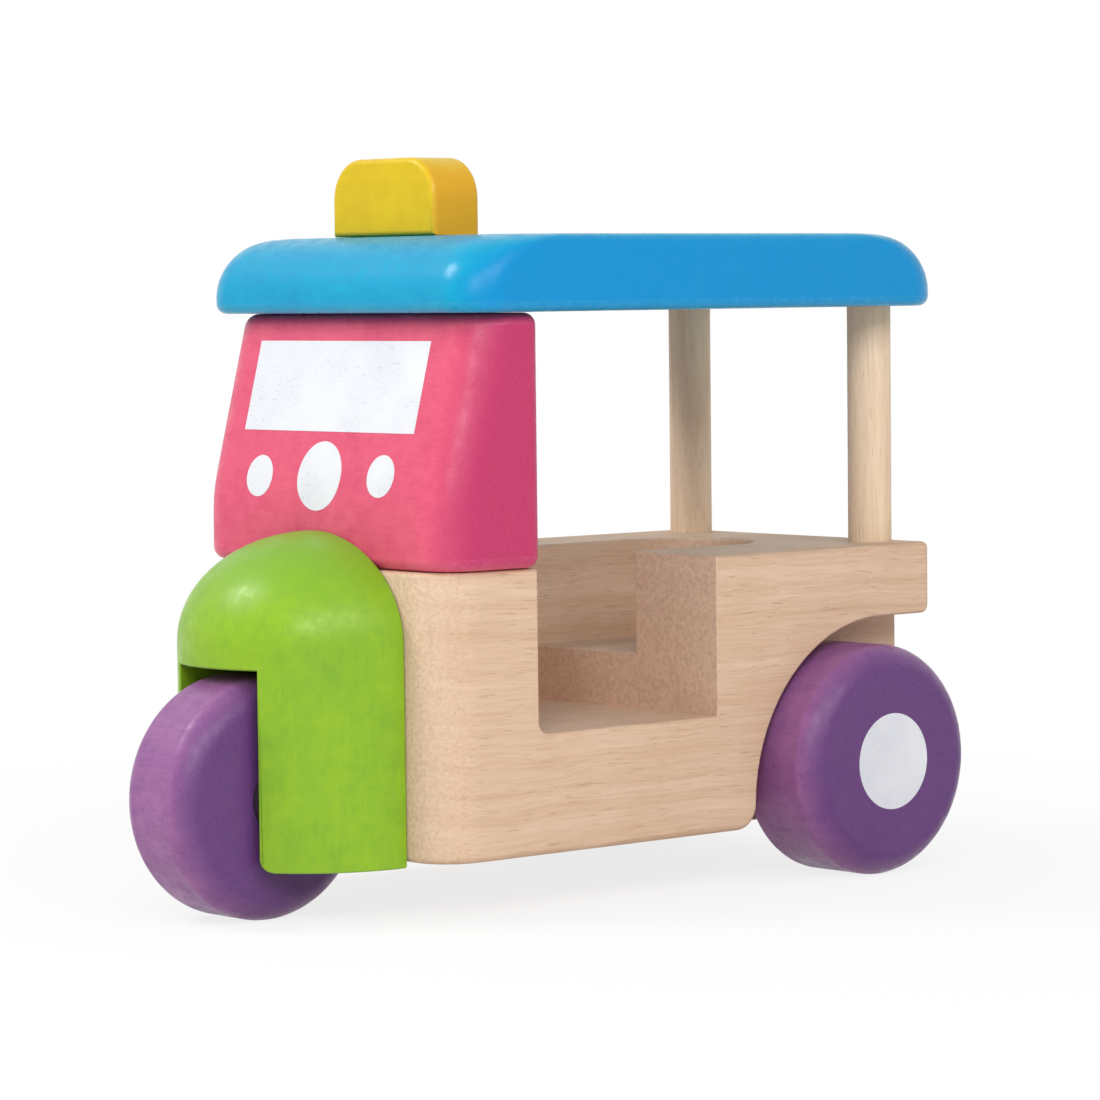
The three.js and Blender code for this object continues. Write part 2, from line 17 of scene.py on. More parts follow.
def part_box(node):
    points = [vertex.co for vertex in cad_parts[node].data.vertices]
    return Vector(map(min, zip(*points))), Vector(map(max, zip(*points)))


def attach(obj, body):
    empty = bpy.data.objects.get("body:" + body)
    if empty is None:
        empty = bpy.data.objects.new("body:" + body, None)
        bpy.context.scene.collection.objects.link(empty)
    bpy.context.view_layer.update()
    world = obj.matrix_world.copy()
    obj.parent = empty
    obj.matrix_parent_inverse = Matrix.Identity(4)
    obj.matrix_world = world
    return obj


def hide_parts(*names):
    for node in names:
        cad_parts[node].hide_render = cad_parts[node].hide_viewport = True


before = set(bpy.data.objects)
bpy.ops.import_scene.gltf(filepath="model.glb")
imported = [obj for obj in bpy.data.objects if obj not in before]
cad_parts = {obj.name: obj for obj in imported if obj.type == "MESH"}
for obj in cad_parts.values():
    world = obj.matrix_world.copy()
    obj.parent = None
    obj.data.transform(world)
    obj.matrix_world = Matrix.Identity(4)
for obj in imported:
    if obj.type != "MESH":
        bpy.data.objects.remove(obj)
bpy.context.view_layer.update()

# %% [markdown]
# ## Camera
# The camera stands at the front left corner of the toy, a little above its middle, as a product
# photographer would place it. A long lens keeps the roof and the floor nearly parallel. Its focal length
# and the middle of the picture are in pixels of a square picture. The three axes of the camera are worked
# out from its heading, its pitch and its slight roll, and go into its matrix together, which avoids
# guessing Euler angles.

# %% Camera
HEADING = math.radians(48.67)
PITCH = math.radians(4.3)
ROLL = math.radians(0.64)
CAMERA_PLACE = Vector((-0.59771, -0.70148, 0.12793))
PICTURE = 1100
MIDDLE_X, MIDDLE_Y = 565.1, 611.5
FOCAL = 4315.7
SENSOR = 36

forward = Vector((
    math.cos(HEADING) * math.cos(PITCH), math.sin(HEADING) * math.cos(PITCH), -math.sin(PITCH)))
level_right = Vector((math.sin(HEADING), -math.cos(HEADING), 0))
level_down = forward.cross(level_right)
right = math.cos(ROLL) * level_right + math.sin(ROLL) * level_down
down = math.cos(ROLL) * level_down - math.sin(ROLL) * level_right

lens = bpy.data.cameras.new("camera")
lens.sensor_fit = "HORIZONTAL"
lens.sensor_width = SENSOR
lens.lens = FOCAL / PICTURE * SENSOR
lens.shift_x = (PICTURE / 2 - MIDDLE_X) / PICTURE
lens.shift_y = (MIDDLE_Y - PICTURE / 2) / PICTURE
lens.clip_start = 0.01
camera = bpy.data.objects.new("camera", lens)
bpy.context.collection.objects.link(camera)
axes = Matrix((right, -down, -forward)).transposed().to_4x4()
camera.matrix_world = Matrix.Translation(CAMERA_PLACE) @ axes
bpy.context.scene.camera = camera
print("camera at", list(CAMERA_PLACE), "with a lens of", round(lens.lens, 1), "mm")

# %% [markdown]
# ## Hands
# Modelling by hand is always the same few moves: put down a simple form at its size, choose some edges or
# faces, and round, inset, extrude or slide them. These helpers are those moves. Edges and faces are chosen
# by where they lie, so a reader can follow a choice on the real toy.

# %% Simple forms
MM = 0.001
NEAR = 0.02 * MM


def nothing_chosen():
    """Leaves edit mode and lets go of every piece."""
    if bpy.context.object and bpy.context.object.mode != "OBJECT":
        bpy.ops.object.mode_set(mode="OBJECT")
    bpy.ops.object.select_all(action="DESELECT")


def only(piece):
    """Makes this piece the one that the next tools work on."""
    nothing_chosen()
    piece.select_set(True)
    bpy.context.view_layer.objects.active = piece


def settle(name):
    """Names the form that was just added, and moves its place and size into its mesh."""
    piece = bpy.context.object
    piece.name = name
    piece.data.name = name
    bpy.ops.object.transform_apply(location=True, rotation=True, scale=True)
    return piece


def block(name, low, high):
    """A box between two corners, in millimetres."""
    nothing_chosen()
    low, high = Vector(low) * MM, Vector(high) * MM
    bpy.ops.mesh.primitive_cube_add(size=1, location=(low + high) / 2)
    bpy.context.object.scale = high - low
    return settle(name)


TURNS = {"x": (0, math.pi / 2, 0), "y": (math.pi / 2, 0, 0), "z": (0, 0, 0)}


def rod(name, axis, radius, start, end, through=(0, 0, 0), sides=96):
    """A round rod along one axis, in millimetres."""
    nothing_chosen()
    place = Vector(through)
    place["xyz".index(axis)] = (start + end) / 2
    bpy.ops.mesh.primitive_cylinder_add(
        vertices=sides, radius=radius * MM, depth=(end - start) * MM, location=place * MM,
        rotation=TURNS[axis])
    return settle(name)


print("ready to put down blocks and rods")

# %% Choosing and shaping


def at(x=None, y=None, z=None):
    """A test that a corner, edge or face lies at these coordinates, in millimetres."""
    wanted = [(axis, value * MM) for axis, value in enumerate((x, y, z)) if value is not None]

    def test(part):
        corners = [part.co] if isinstance(part, bmesh.types.BMVert) else [corner.co for corner in part.verts]
        return all(abs(corner[axis] - value) < NEAR for corner in corners for axis, value in wanted)
    return test


def either(*tests):
    """A test that passes where any of these tests does."""
    return lambda part: any(test(part) for test in tests)


def pick(piece, kind, test):
    """Goes into edit mode with only those parts chosen that pass the test, and counts them."""
    only(piece)
    bpy.ops.object.mode_set(mode="EDIT")
    bpy.ops.mesh.select_mode(type=kind)
    bpy.ops.mesh.select_all(action="DESELECT")
    shape = bmesh.from_edit_mesh(piece.data)
    parts = {"VERT": shape.verts, "EDGE": shape.edges, "FACE": shape.faces}[kind]
    chosen = [part for part in parts if test(part)]
    for part in chosen:
        part.select_set(True)
    shape.select_flush_mode()
    bmesh.update_edit_mesh(piece.data)
    return len(chosen)


def two_slots(piece):
    """Gives a piece a second material slot, which marks worn edge faces until the mesh is cleaned."""
    while len(piece.data.materials) < 2:
        piece.data.materials.append(None)


def round_edges(piece, test, radius, steps, rubbed_and_sheen=False, profile=0.5):
    """Rounds the edges that pass the test. Marked edges are those that hands and shelves wear, and paint
    also gives them a painted highlight.
    """
    two_slots(piece)
    pick(piece, "EDGE", test)
    bpy.ops.mesh.bevel(
        offset=radius * MM, segments=steps, profile=profile, affect="EDGES", clamp_overlap=False,
        material=1 if rubbed_and_sheen else -1, miter_outer="ARC")
    bpy.ops.object.mode_set(mode="OBJECT")


def slice_level(piece, z):
    """Cuts a ring of corners round a piece at one height."""
    pick(piece, "FACE", lambda face: True)
    bpy.ops.mesh.bisect(plane_co=(0, 0, z * MM), plane_no=(0, 0, 1))
    bpy.ops.object.mode_set(mode="OBJECT")


def slide(piece, test, move):
    """Moves the corners that pass the test, in millimetres."""
    if pick(piece, "VERT", test):
        bpy.ops.transform.translate(value=Vector(move) * MM)
    bpy.ops.object.mode_set(mode="OBJECT")


def apply(piece, kind, **settings):
    """Adds a modifier and applies it."""
    only(piece)
    tool = piece.modifiers.new(kind.lower(), kind)
    for name, value in settings.items():
        setattr(tool, name, value)
    bpy.ops.object.modifier_apply(modifier=tool.name)


def merge_close(piece):
    """Merges corners that fell on one place, and drops the empty faces between them."""
    pick(piece, "VERT", lambda corner: True)
    bpy.ops.mesh.remove_doubles(threshold=NEAR)
    bpy.ops.mesh.dissolve_degenerate(threshold=NEAR)
    bpy.ops.mesh.normals_make_consistent(inside=False)
    bpy.ops.object.mode_set(mode="OBJECT")


def cut_away(piece, *cutters, operation="DIFFERENCE"):
    """Cuts a piece with solid cutters, and throws the cutters away."""
    for cutter in cutters:
        apply(piece, "BOOLEAN", operation=operation, solver="EXACT", object=cutter)
        bpy.data.objects.remove(cutter, do_unlink=True)
        merge_close(piece)


print("ready to choose, round, slice, slide and cut")

# %% [markdown]
# A finished mesh is cleaned, and its shading is made even: flat faces stay flat right up to their rounded
# edges, because the normals are weighted by the size of each face. The rounded edges that hands rub keep a
# mark, as a number on each face that the finishes read later: bare wood is soiled there, and paint turns
# paler there, partly as thin, worn paint and partly as a painted highlight. Another number says how
# squarely the surface cuts across the grain: end grain drinks more paint and dries darker, and on the
# painted pieces that deeper colour also stands in for painted shade on their sides.

# %% Finishing a mesh
SHARP = math.radians(32)
DOUBLES = 0.002 * MM
FLAT_FACES = 80


def clean(piece):
    """Merges doubles, points faces outwards, marks the faces of worn edges, which paint also gives a painted
    highlight, and evens out the shading.
    """
    only(piece)
    bpy.ops.object.mode_set(mode="EDIT")
    bpy.ops.mesh.select_all(action="SELECT")
    bpy.ops.mesh.remove_doubles(threshold=DOUBLES)
    bpy.ops.mesh.normals_make_consistent(inside=False)
    if bmesh.from_edit_mesh(piece.data).calc_volume(signed=True) < 0:
        bpy.ops.mesh.flip_normals()
    bpy.ops.object.mode_set(mode="OBJECT")
    mesh = piece.data
    rubbed_and_sheen = mesh.attributes.new("rubbed_and_sheen", "FLOAT", "FACE")
    for face, mark in zip(mesh.polygons, rubbed_and_sheen.data):
        mark.value = 1.0 if face.material_index == 1 else 0.0
        face.material_index = 0
    mesh.materials.clear()
    bpy.ops.object.shade_smooth_by_angle(angle=SHARP)
    apply(piece, "WEIGHTED_NORMAL", keep_sharp=True, weight=FLAT_FACES)
    return piece


def mark_end_grain(piece, axis):
    """Writes how far each corner's normal points along the grain, from 0 to 1."""
    marks = piece.data.attributes.new("end_grain", "FLOAT", "CORNER")
    along = "xyz".index(axis)
    for normal, mark in zip(piece.data.corner_normals, marks.data):
        mark.value = abs(normal.vector[along])


def tell(piece):
    """Prints a piece's size and its number of faces."""
    corners = [corner.co for corner in piece.data.vertices]
    size = [round((max(c[i] for c in corners) - min(c[i] for c in corners)) / MM, 1) for i in range(3)]
    print(piece.name, "is", size, "mm, with", len(piece.data.polygons), "faces")


def box_mm(node):
    """The lowest and highest corner of a piece in the frame, in millimetres."""
    low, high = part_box(node)
    return Vector(low) / MM, Vector(high) / MM


def middle_mm(node):
    """The middle of a piece in the frame, in millimetres."""
    low, high = box_mm(node)
    return (low + high) / 2


print("ready to finish pieces")

# %% [markdown]
# ## Chassis
# The chassis is one block of light hardwood. A maker would saw it, bore it and rout the seat, so here it is
# a box too: first the upright corners are rounded, and then the door notch, the seat hollow and the two
# wheel recesses are cut out with solid cutters. Cutting keeps the flat faces truly flat, which matters
# because the long grain shows every ripple. Where a lower edge is rounded under an arch, the cutter is a
# block with a round hollow in it, like a scraper, because a bevel would run into the short faces of the
# arch.

# %% Chassis block
low, high = box_mm("chassis_block")
front, rear, half, foot, deck = low.x, high.x, high.y, low.z, high.z
FRONT_CORNER, REAR_CORNER = 10, 2
chassis = block("chassis", low, high)
round_edges(chassis, either(at(x=front, y=-half), at(x=front, y=half)), FRONT_CORNER, steps=12)
round_edges(chassis, either(at(x=rear, y=-half), at(x=rear, y=half)), REAR_CORNER, steps=6)
tell(chassis)

# %% Door notch and seat
FRONT_BLOCK, DOOR_LENGTH, SEAT_DEPTH = 26, 50, 45
FLOOR_THICK, SEAT_RISE = 25, 12
WALL_WIDE, ARM_WIDE = 20.5, 26
DOOR_CORNER = 2.5
PAST = 4
DOOR_START = front + FRONT_BLOCK
DOOR_END = DOOR_START + DOOR_LENGTH
SEAT_END = DOOR_END + SEAT_DEPTH
FLOOR = foot + FLOOR_THICK
SEAT = FLOOR + SEAT_RISE
WALL, ARM = half - WALL_WIDE, ARM_WIDE - half

notch = block("notch", (DOOR_START, -half - PAST, FLOOR), (DOOR_END, WALL, deck + PAST))
round_edges(notch, at(x=DOOR_START, z=FLOOR), DOOR_CORNER, steps=6)
hollow = block("hollow", (DOOR_END - PAST, ARM, SEAT), (SEAT_END, WALL, deck + PAST))
# A hair less than half the width keeps the two bevels from running into each other.
JUST_SHORT = 0.01
seat_round = (WALL - ARM) / 2 - JUST_SHORT
round_edges(hollow, either(at(x=SEAT_END, y=ARM), at(x=SEAT_END, y=WALL)), seat_round, steps=20)
cut_away(chassis, notch, hollow)
tell(chassis)

# %% Wheel recesses
RECESS_DEEP, ARCH_ROUND, ARCH_BACK, ARCH_DOWN = 11, 38.32, 8.7, 8
LIP_ROUND, FOOT_ROUND = 3, 5
AXLE = middle_mm("rear_axle")
RECESS = half - RECESS_DEEP
ARCH_TOP = AXLE.z - ARCH_DOWN + ARCH_ROUND
ARCH_FRONT = AXLE.x + ARCH_BACK - ARCH_ROUND


def under_round(x, z, radius, y_from, y_to):
    """A cutter that rounds a lower rear edge: a block with a round hollow in it."""
    cutter = block("under_round", (x - radius, y_from, z - PAST), (x + PAST, y_to, z + radius))
    place = (x - radius, 0, z + radius)
    cut_away(cutter, rod("under_hollow", "y", radius, y_from - PAST, y_to + PAST, place, sides=48))
    return cutter


for side in (-1, 1):
    y_from, y_to = sorted((side * RECESS, side * (half + PAST)))
    recess = block("recess", (ARCH_FRONT, y_from, foot - PAST), (rear + PAST, y_to, ARCH_TOP))
    round_edges(recess, at(x=ARCH_FRONT, z=ARCH_TOP), ARCH_ROUND, steps=32)
    lip = under_round(rear, ARCH_TOP, LIP_ROUND, y_from, y_to)
    arch_foot = under_round(ARCH_FRONT, foot, FOOT_ROUND, y_from, y_to)
    cut_away(chassis, recess, lip, arch_foot)
tell(chassis)

# %% [markdown]
# The block's outer edges are sanded by hand, so they are soft, while the edges of the notch and of the
# arches only lose their sharpness, and the inner corners stay crisp. Only edges that stick out are rounded:
# an edge sticks out where its two faces turn away from each other by a clear angle. A bevel weight on each
# edge tells one Bevel modifier how much to take off.

# %% Sanded edges of the chassis
SANDED = math.radians(40)
CRISP = 0.45
SKIN = 0.1
CHASSIS_EDGE = 1.3


def sticks_out(edge):
    """True where the two faces of an edge turn away from each other by a clear angle."""
    return len(edge.link_faces) == 2 and edge.calc_face_angle_signed(0) > SANDED


def on_outline(edge):
    """True for the block's own upper and lower edges, all round its outside."""
    level = at(z=deck)(edge) or at(z=foot)(edge)
    middle = (edge.verts[0].co + edge.verts[1].co) / 2 / MM
    at_side = abs(middle.y) > half - SKIN or min(middle.x - front, rear - middle.x) < SKIN
    at_end = middle.x < front + FRONT_CORNER or middle.x > rear - REAR_CORNER
    at_corner = abs(middle.y) > half - FRONT_CORNER and at_end
    return level and (at_side or at_corner)


def softness(edge):
    """The share of the full rounding: all of it on the outline, fading along the foot of each arch."""
    if on_outline(edge):
        return 1.0
    middle = (edge.verts[0].co + edge.verts[1].co) / 2 / MM
    on_foot = abs(middle.y) > half - SKIN and middle.x > ARCH_FRONT - FOOT_ROUND - SKIN
    fade = max(0.0, 1 - (middle.z - foot) / FOOT_ROUND) if on_foot else 0.0
    return CRISP + (1 - CRISP) * fade


def sand(piece, share, radius, steps):
    """Rounds every edge that sticks out, each by its share of the radius."""
    two_slots(piece)
    shape = bmesh.new()
    shape.from_mesh(piece.data)
    weights = shape.edges.layers.float.new("bevel_weight_edge")
    for edge in shape.edges:
        if sticks_out(edge):
            edge[weights] = share(edge)
    shape.to_mesh(piece.data)
    shape.free()
    apply(
        piece, "BEVEL", width=radius * MM, segments=steps, limit_method="WEIGHT", material=1,
        use_clamp_overlap=False, miter_outer="MITER_ARC")


sand(chassis, softness, CHASSIS_EDGE, steps=3)
print("sanded the chassis to", len(chassis.data.polygons), "faces")

# %% [markdown]
# The holes are bored last, so that the sanding can't soften their rims: the axle's bore, the pocket behind
# the front wheel, the sockets of the posts, and the dowel holes under the fork and the cab. Each one takes
# its place and its width from the piece that goes into it, with a little room.

# %% Holes in the chassis
HOLE_GAP, END_GAP, SIDE_PLAY = 0.1, 0.5, 0.1
POCKET = 27
PIN, POST = middle_mm("front_axle"), middle_mm("post_right")
SLOT = SIDE_PLAY - box_mm("front_washer_left")[0].y


def hole_for(node, axis):
    """The radius of a hole for a rod of the frame along this axis, measured across the rod."""
    low, high = box_mm(node)
    across = "xyz".index(axis) - 1
    return (high - low)[across] / 2 + HOLE_GAP


post_low, post_high = box_mm("post_right")
post_hole = hole_for("post_right", "z")
bush_hole = hole_for("rear_bush_left", "y")
cut_away(
    chassis,
    rod("bore", "y", bush_hole, -RECESS - PAST, RECESS + PAST, AXLE, sides=48),
    rod("pocket", "y", POCKET, -SLOT, SLOT, PIN))
for side in (1, -1):
    place = (POST.x, side * POST.y, 0)
    cut_away(chassis, rod("socket", "z", post_hole, post_low.z - END_GAP, deck + PAST, place, sides=64))
for name in ("fork_dowel_top", "fork_dowel_right", "fork_dowel_left"):
    end = box_mm(name)[1].x + END_GAP
    hole = hole_for(name, "x")
    cut_away(chassis, rod("dowel_hole", "x", hole, front - PAST, end, middle_mm(name), sides=32))
for name in ("cab_dowel_left", "cab_dowel_right"):
    start = box_mm(name)[0].z - END_GAP
    hole = hole_for(name, "z")
    cut_away(chassis, rod("dowel_hole", "z", hole, start, deck + PAST, middle_mm(name), sides=32))
clean(chassis)
tell(chassis)

# %% [markdown]
# ## Cab
# The cab is a thick painted block whose front face stands upright and then leans back towards the roof. A
# box is sliced into rings, and each ring's front is slid back by what the lean asks at its height, with a
# soft bend where the lean starts. Sliding whole rings keeps the round corners the same all the way up.

# %% Cab block
low, high = box_mm("cab_block")
cab = block("cab", low, high)
CAB_HALF, CAB_FOOT, CAB_TOP, CAB_BACK = high.y, low.z, high.z, high.x
CAB_LEAN, BEND, BEND_SOFT, BEND_RINGS = 9.9, 14, 5, 4
CAB_CORNER, CAB_REAR_CORNER, CAB_EDGE = 10, 2.8, 2.5
round_edges(cab, either(at(x=front, y=-CAB_HALF), at(x=front, y=CAB_HALF)), CAB_CORNER, steps=12)
round_edges(cab, either(at(x=CAB_BACK, y=-CAB_HALF), at(x=CAB_BACK, y=CAB_HALF)), CAB_REAR_CORNER, steps=6)


def lean(rise):
    """How far the front has gone back at this height above the cab's foot."""
    slope = CAB_LEAN / (CAB_TOP - CAB_FOOT - BEND)
    above = rise - BEND
    if abs(above) < BEND_SOFT:
        return slope * (above + BEND_SOFT) ** 2 / (4 * BEND_SOFT)
    return max(0, slope * above)


levels = [BEND + step * BEND_SOFT / BEND_RINGS for step in range(-BEND_RINGS, BEND_RINGS + 1)]
front_part = (front + CAB_CORNER + SKIN) * MM
for rise in levels:
    slice_level(cab, CAB_FOOT + rise)
for rise in levels + [CAB_TOP - CAB_FOOT]:
    ring = at(z=CAB_FOOT + rise)
    slide(cab, lambda corner: ring(corner) and corner.co.x < front_part, (lean(rise), 0, 0))
round_edges(cab, either(at(z=CAB_FOOT), at(z=CAB_TOP)), CAB_EDGE, steps=6, rubbed_and_sheen=True)
clean(cab)
tell(cab)

# %% [markdown]
# ## Roof
# The roof is a board with blunt noses at its front and rear, worn round like a river stone on top and
# nearly square underneath. The same rings do this: each ring near the top is slid in along a quarter
# ellipse, and the last ones are drawn in at the sides too. The upright corners also grow rounder towards
# the top, and a corner grows when its arc is scaled about the point where the sharp corner would be.

# %% Roof board
low, high = box_mm("roof_board")
roof = block("roof", low, high)
ROOF_FRONT, ROOF_REAR, ROOF_HALF, ROOF_FOOT, ROOF_TOP = low.x, high.x, high.y, low.z, high.z
NOSE_LONG, NOSE_HIGH, ROOF_EDGE, NOSE_STEPS = 14, 12.6, 2.5, 16
ROOF_CORNER, ROOF_TOP_CORNER, ROOF_UNDER = 9.5, 16, 2.2
round_edges(roof, lambda edge: abs(edge.verts[0].co.z - edge.verts[1].co.z) > MM, ROOF_CORNER, steps=12)
nose_heights = [
    ROOF_TOP - NOSE_HIGH * (1 - math.sin(step / NOSE_STEPS * math.pi / 2)) for step in range(NOSE_STEPS + 1)]
for z in nose_heights[:-1]:
    slice_level(roof, z)


def ring_end(z, front_end):
    """A test for the corners at this height in the front or the rear half."""
    ring = at(z=z)
    middle = (ROOF_FRONT + ROOF_REAR) / 2 * MM
    return lambda corner: ring(corner) and (corner.co.x < middle) == front_end


def ring_side(z, side):
    """A test for the corners at this height on one side."""
    ring = at(z=z)
    return lambda corner: ring(corner) and corner.co.y * side > 0


def grow_corners(z, growth):
    """Scales the four arcs at this height, each about the point of its sharp corner."""
    ring = at(z=z)
    reach = ROOF_CORNER * MM + NEAR
    for x in (ROOF_FRONT, ROOF_REAR):
        for y in (-ROOF_HALF, ROOF_HALF):
            point = Vector((x, y, z)) * MM
            pick(roof, "VERT", lambda corner: ring(corner)
                 and abs(corner.co.x - point.x) < reach and abs(corner.co.y - point.y) < reach)
            bpy.ops.transform.resize(value=(growth, growth, 1), center_override=point)
    bpy.ops.object.mode_set(mode="OBJECT")


for step, z in enumerate(nose_heights):
    back = NOSE_LONG * (1 - math.cos(step / NOSE_STEPS * math.pi / 2))
    rise = max(0, z - (ROOF_TOP - ROOF_EDGE))
    draw_in = ROOF_EDGE - math.sqrt(max(0, ROOF_EDGE ** 2 - rise ** 2))
    grow_corners(z, 1 + (ROOF_TOP_CORNER / ROOF_CORNER - 1) * back / NOSE_LONG)
    slide(roof, ring_end(z, True), (back, 0, 0))
    slide(roof, ring_end(z, False), (-back, 0, 0))
    for side in (-1, 1):
        slide(roof, ring_side(z, side), (0, -side * draw_in, 0))
round_edges(roof, at(z=ROOF_FOOT), ROOF_UNDER, steps=5, rubbed_and_sheen=True)
for side in (1, -1):
    place = (POST.x, side * POST.y, 0)
    cut_away(roof, rod("socket", "z", post_hole, ROOF_FOOT - PAST, post_high.z + END_GAP, place, sides=64))
clean(roof)
tell(roof)

# %% [markdown]
# ## Roof sign
# The sign is a small block whose two upper corners are rounded like a loaf. Two long edges get a big radius
# first, and then the outlines of the front and back faces get a small one, so the fine edge runs on round
# the big corners.

# %% Roof sign
low, high = box_mm("roof_sign")
sign = block("sign", low, high)
SIGN_CORNER, SIGN_EDGE = 8.5, 1.2
round_edges(sign, either(at(y=low.y, z=high.z), at(y=high.y, z=high.z)), SIGN_CORNER, steps=14)
round_edges(sign, either(at(x=low.x), at(x=high.x)), SIGN_EDGE, steps=4, rubbed_and_sheen=True)
clean(sign)
tell(sign)

# %% [markdown]
# ## Front fork
# The fork is half of a domed round post, slotted for the wheel. It starts as a round rod. Its top face is
# extruded in small steps and shrunk at each one, so the dome closes like a potter's pot, and a cut along
# the middle plane leaves the half that is glued to the chassis. Then the slot is cut, the inner corners of
# its two cheeks are rounded at the foot with hollow cutters, and all edges are sanded.

# %% Domed round
low, high = box_mm("front_fork")
FORK_ROUND, FORK_FOOT, FORK_TOP, FORK_BACK = high.y, low.z, high.z, high.x
DOME_START, DOME_STEPS = 56, 18
fork = rod("fork", "z", FORK_ROUND, FORK_FOOT, DOME_START, (FORK_BACK, 0, 0), sides=128)
dome = FORK_TOP - DOME_START
pick(fork, "FACE", at(z=DOME_START))
for step in range(1, DOME_STEPS):
    turn = step / DOME_STEPS * math.pi / 2
    last = (step - 1) / DOME_STEPS * math.pi / 2
    rise = dome * (math.sin(turn) - math.sin(last)) * MM
    bpy.ops.mesh.extrude_region_move(TRANSFORM_OT_translate={"value": (0, 0, rise)})
    shrink = math.cos(turn) / math.cos(last)
    bpy.ops.transform.resize(value=(shrink, shrink, 1), center_override=(FORK_BACK * MM, 0, 0))
bpy.ops.mesh.extrude_region_move(
    TRANSFORM_OT_translate={"value": (0, 0, dome * (1 - math.sin(turn)) * MM)})
bpy.ops.mesh.merge(type="CENTER")
merge_close(fork)
tell(fork)

# %% Halving and slotting the fork
only(fork)
bpy.ops.object.duplicate()
plug_form = bpy.context.object
pick(fork, "FACE", lambda face: True)
bpy.ops.mesh.bisect(plane_co=(FORK_BACK * MM, 0, 0), plane_no=(1, 0, 0), clear_outer=True, use_fill=True)
merge_close(fork)
SLOT_TOP, CHEEK_ROUND, FORK_EDGE = 51.7, 2.8, 0.55
x_from, x_to = low.x - PAST, FORK_BACK + PAST
cut_away(fork, block("slot", (x_from, -SLOT, FORK_FOOT - PAST), (x_to, SLOT, SLOT_TOP)))
for side in (-1, 1):
    bend = Vector((0, side * (SLOT + CHEEK_ROUND), FORK_FOOT + CHEEK_ROUND))
    y_from, y_to = sorted((bend.y, side * (SLOT - PAST)))
    cutter = block("cheek_round", (x_from, y_from, FORK_FOOT - PAST), (x_to, y_to, bend.z))
    cut_away(cutter, rod("cheek_hollow", "x", CHEEK_ROUND, x_from - PAST, x_to + PAST, bend, sides=48))
    cut_away(fork, cutter)
sand(fork, lambda edge: 1.0, FORK_EDGE, steps=4)
plug_start = box_mm("front_axle_plug")[0].y
plug_hole = hole_for("front_axle_plug", "y")
pin_low, pin_high = box_mm("front_axle")
pin_hole = hole_for("front_axle", "y")
cut_away(
    fork,
    rod("plug_hole", "y", plug_hole, plug_start - HOLE_GAP, FORK_ROUND + PAST, PIN, sides=48),
    rod("pin_hole", "y", pin_hole, pin_low.y - END_GAP, pin_high.y + END_GAP, PIN, sides=48))
clean(fork)
tell(fork)

# %% [markdown]
# The plug that hides the pin has to end flush with the round side of the fork. A short rod is kept only
# where it overlaps the whole domed form that was set aside, so its end takes the fork's own curve.

# %% Axle plug
PLUG_EDGE = 0.25
plug = rod("plug", "y", plug_hole - HOLE_GAP, plug_start, FORK_ROUND + PAST, PIN, sides=48)
cut_away(plug, plug_form, operation="INTERSECT")
round_edges(plug, sticks_out, PLUG_EDGE, steps=2, rubbed_and_sheen=True)
clean(plug)
tell(plug)

# %% [markdown]
# ## Wheels
# All three wheels are turned from the same thick disc, which is put down once and copied. Broad shoulders
# are rounded on every outer side, and the rear wheels have a smaller one on the side that hides in the
# arch. The front wheel gets a through hole by bridging its two end faces, and each rear wheel gets a blind
# hole from its inner side, by an inset and an extrusion towards its middle. A lathe leaves shoulders a
# little flatter than a true quarter round, which the bevel's profile gives.

# %% One wheel form
low, high = box_mm("front_wheel")
WHEEL, WHEEL_HALF = (high.z - low.z) / 2, high.y
SHOULDER, INNER_SHOULDER, FACE_RING = 5.3, 2, 1.5
SHOULDER_SHAPE = 0.43

rims = either(at(y=-WHEEL_HALF), at(y=WHEEL_HALF))
wheel_form = rod("wheel", "y", WHEEL, -WHEEL_HALF, WHEEL_HALF, sides=144)
tell(wheel_form)


def wheel_copy(name):
    """A copy of the wheel form, with its own mesh."""
    only(wheel_form)
    bpy.ops.object.duplicate()
    copy = bpy.context.object
    copy.name = name
    copy.data.name = name
    return copy


# %% Front wheel
PIN_BORE = 2.56
wheel_front = wheel_copy("wheel_front")
round_edges(wheel_front, rims, SHOULDER, steps=12, profile=SHOULDER_SHAPE)
pick(wheel_front, "FACE", rims)
bpy.ops.mesh.inset(thickness=FACE_RING * MM, depth=0, use_individual=True)
bpy.ops.mesh.inset(thickness=(WHEEL - SHOULDER - FACE_RING - PIN_BORE) * MM, depth=0, use_individual=True)
bpy.ops.mesh.bridge_edge_loops()
bpy.ops.object.mode_set(mode="OBJECT")
slide(wheel_front, lambda corner: True, PIN)
clean(wheel_front)
tell(wheel_front)

# %% Rear wheels
AXLE_BORE, BORE_DEEP = 3.03, 15
rear_wheels = {}
for name, side in (("left", -1), ("right", 1)):
    wheel = wheel_copy("wheel_rear_" + name)
    round_edges(wheel, at(y=side * WHEEL_HALF), SHOULDER, steps=12, profile=SHOULDER_SHAPE)
    round_edges(wheel, at(y=-side * WHEEL_HALF), INNER_SHOULDER, steps=6)
    pick(wheel, "FACE", at(y=side * WHEEL_HALF))
    bpy.ops.mesh.inset(thickness=FACE_RING * MM, depth=0)
    pick(wheel, "FACE", at(y=-side * WHEEL_HALF))
    bpy.ops.mesh.inset(thickness=(WHEEL - INNER_SHOULDER - AXLE_BORE) * MM, depth=0)
    bpy.ops.mesh.extrude_region_move(TRANSFORM_OT_translate={"value": (0, side * BORE_DEEP * MM, 0)})
    bpy.ops.object.mode_set(mode="OBJECT")
    slide(wheel, lambda corner: True, middle_mm("rear_wheel_" + name))
    rear_wheels[name] = clean(wheel)
    tell(wheel)
bpy.data.objects.remove(wheel_form, do_unlink=True)

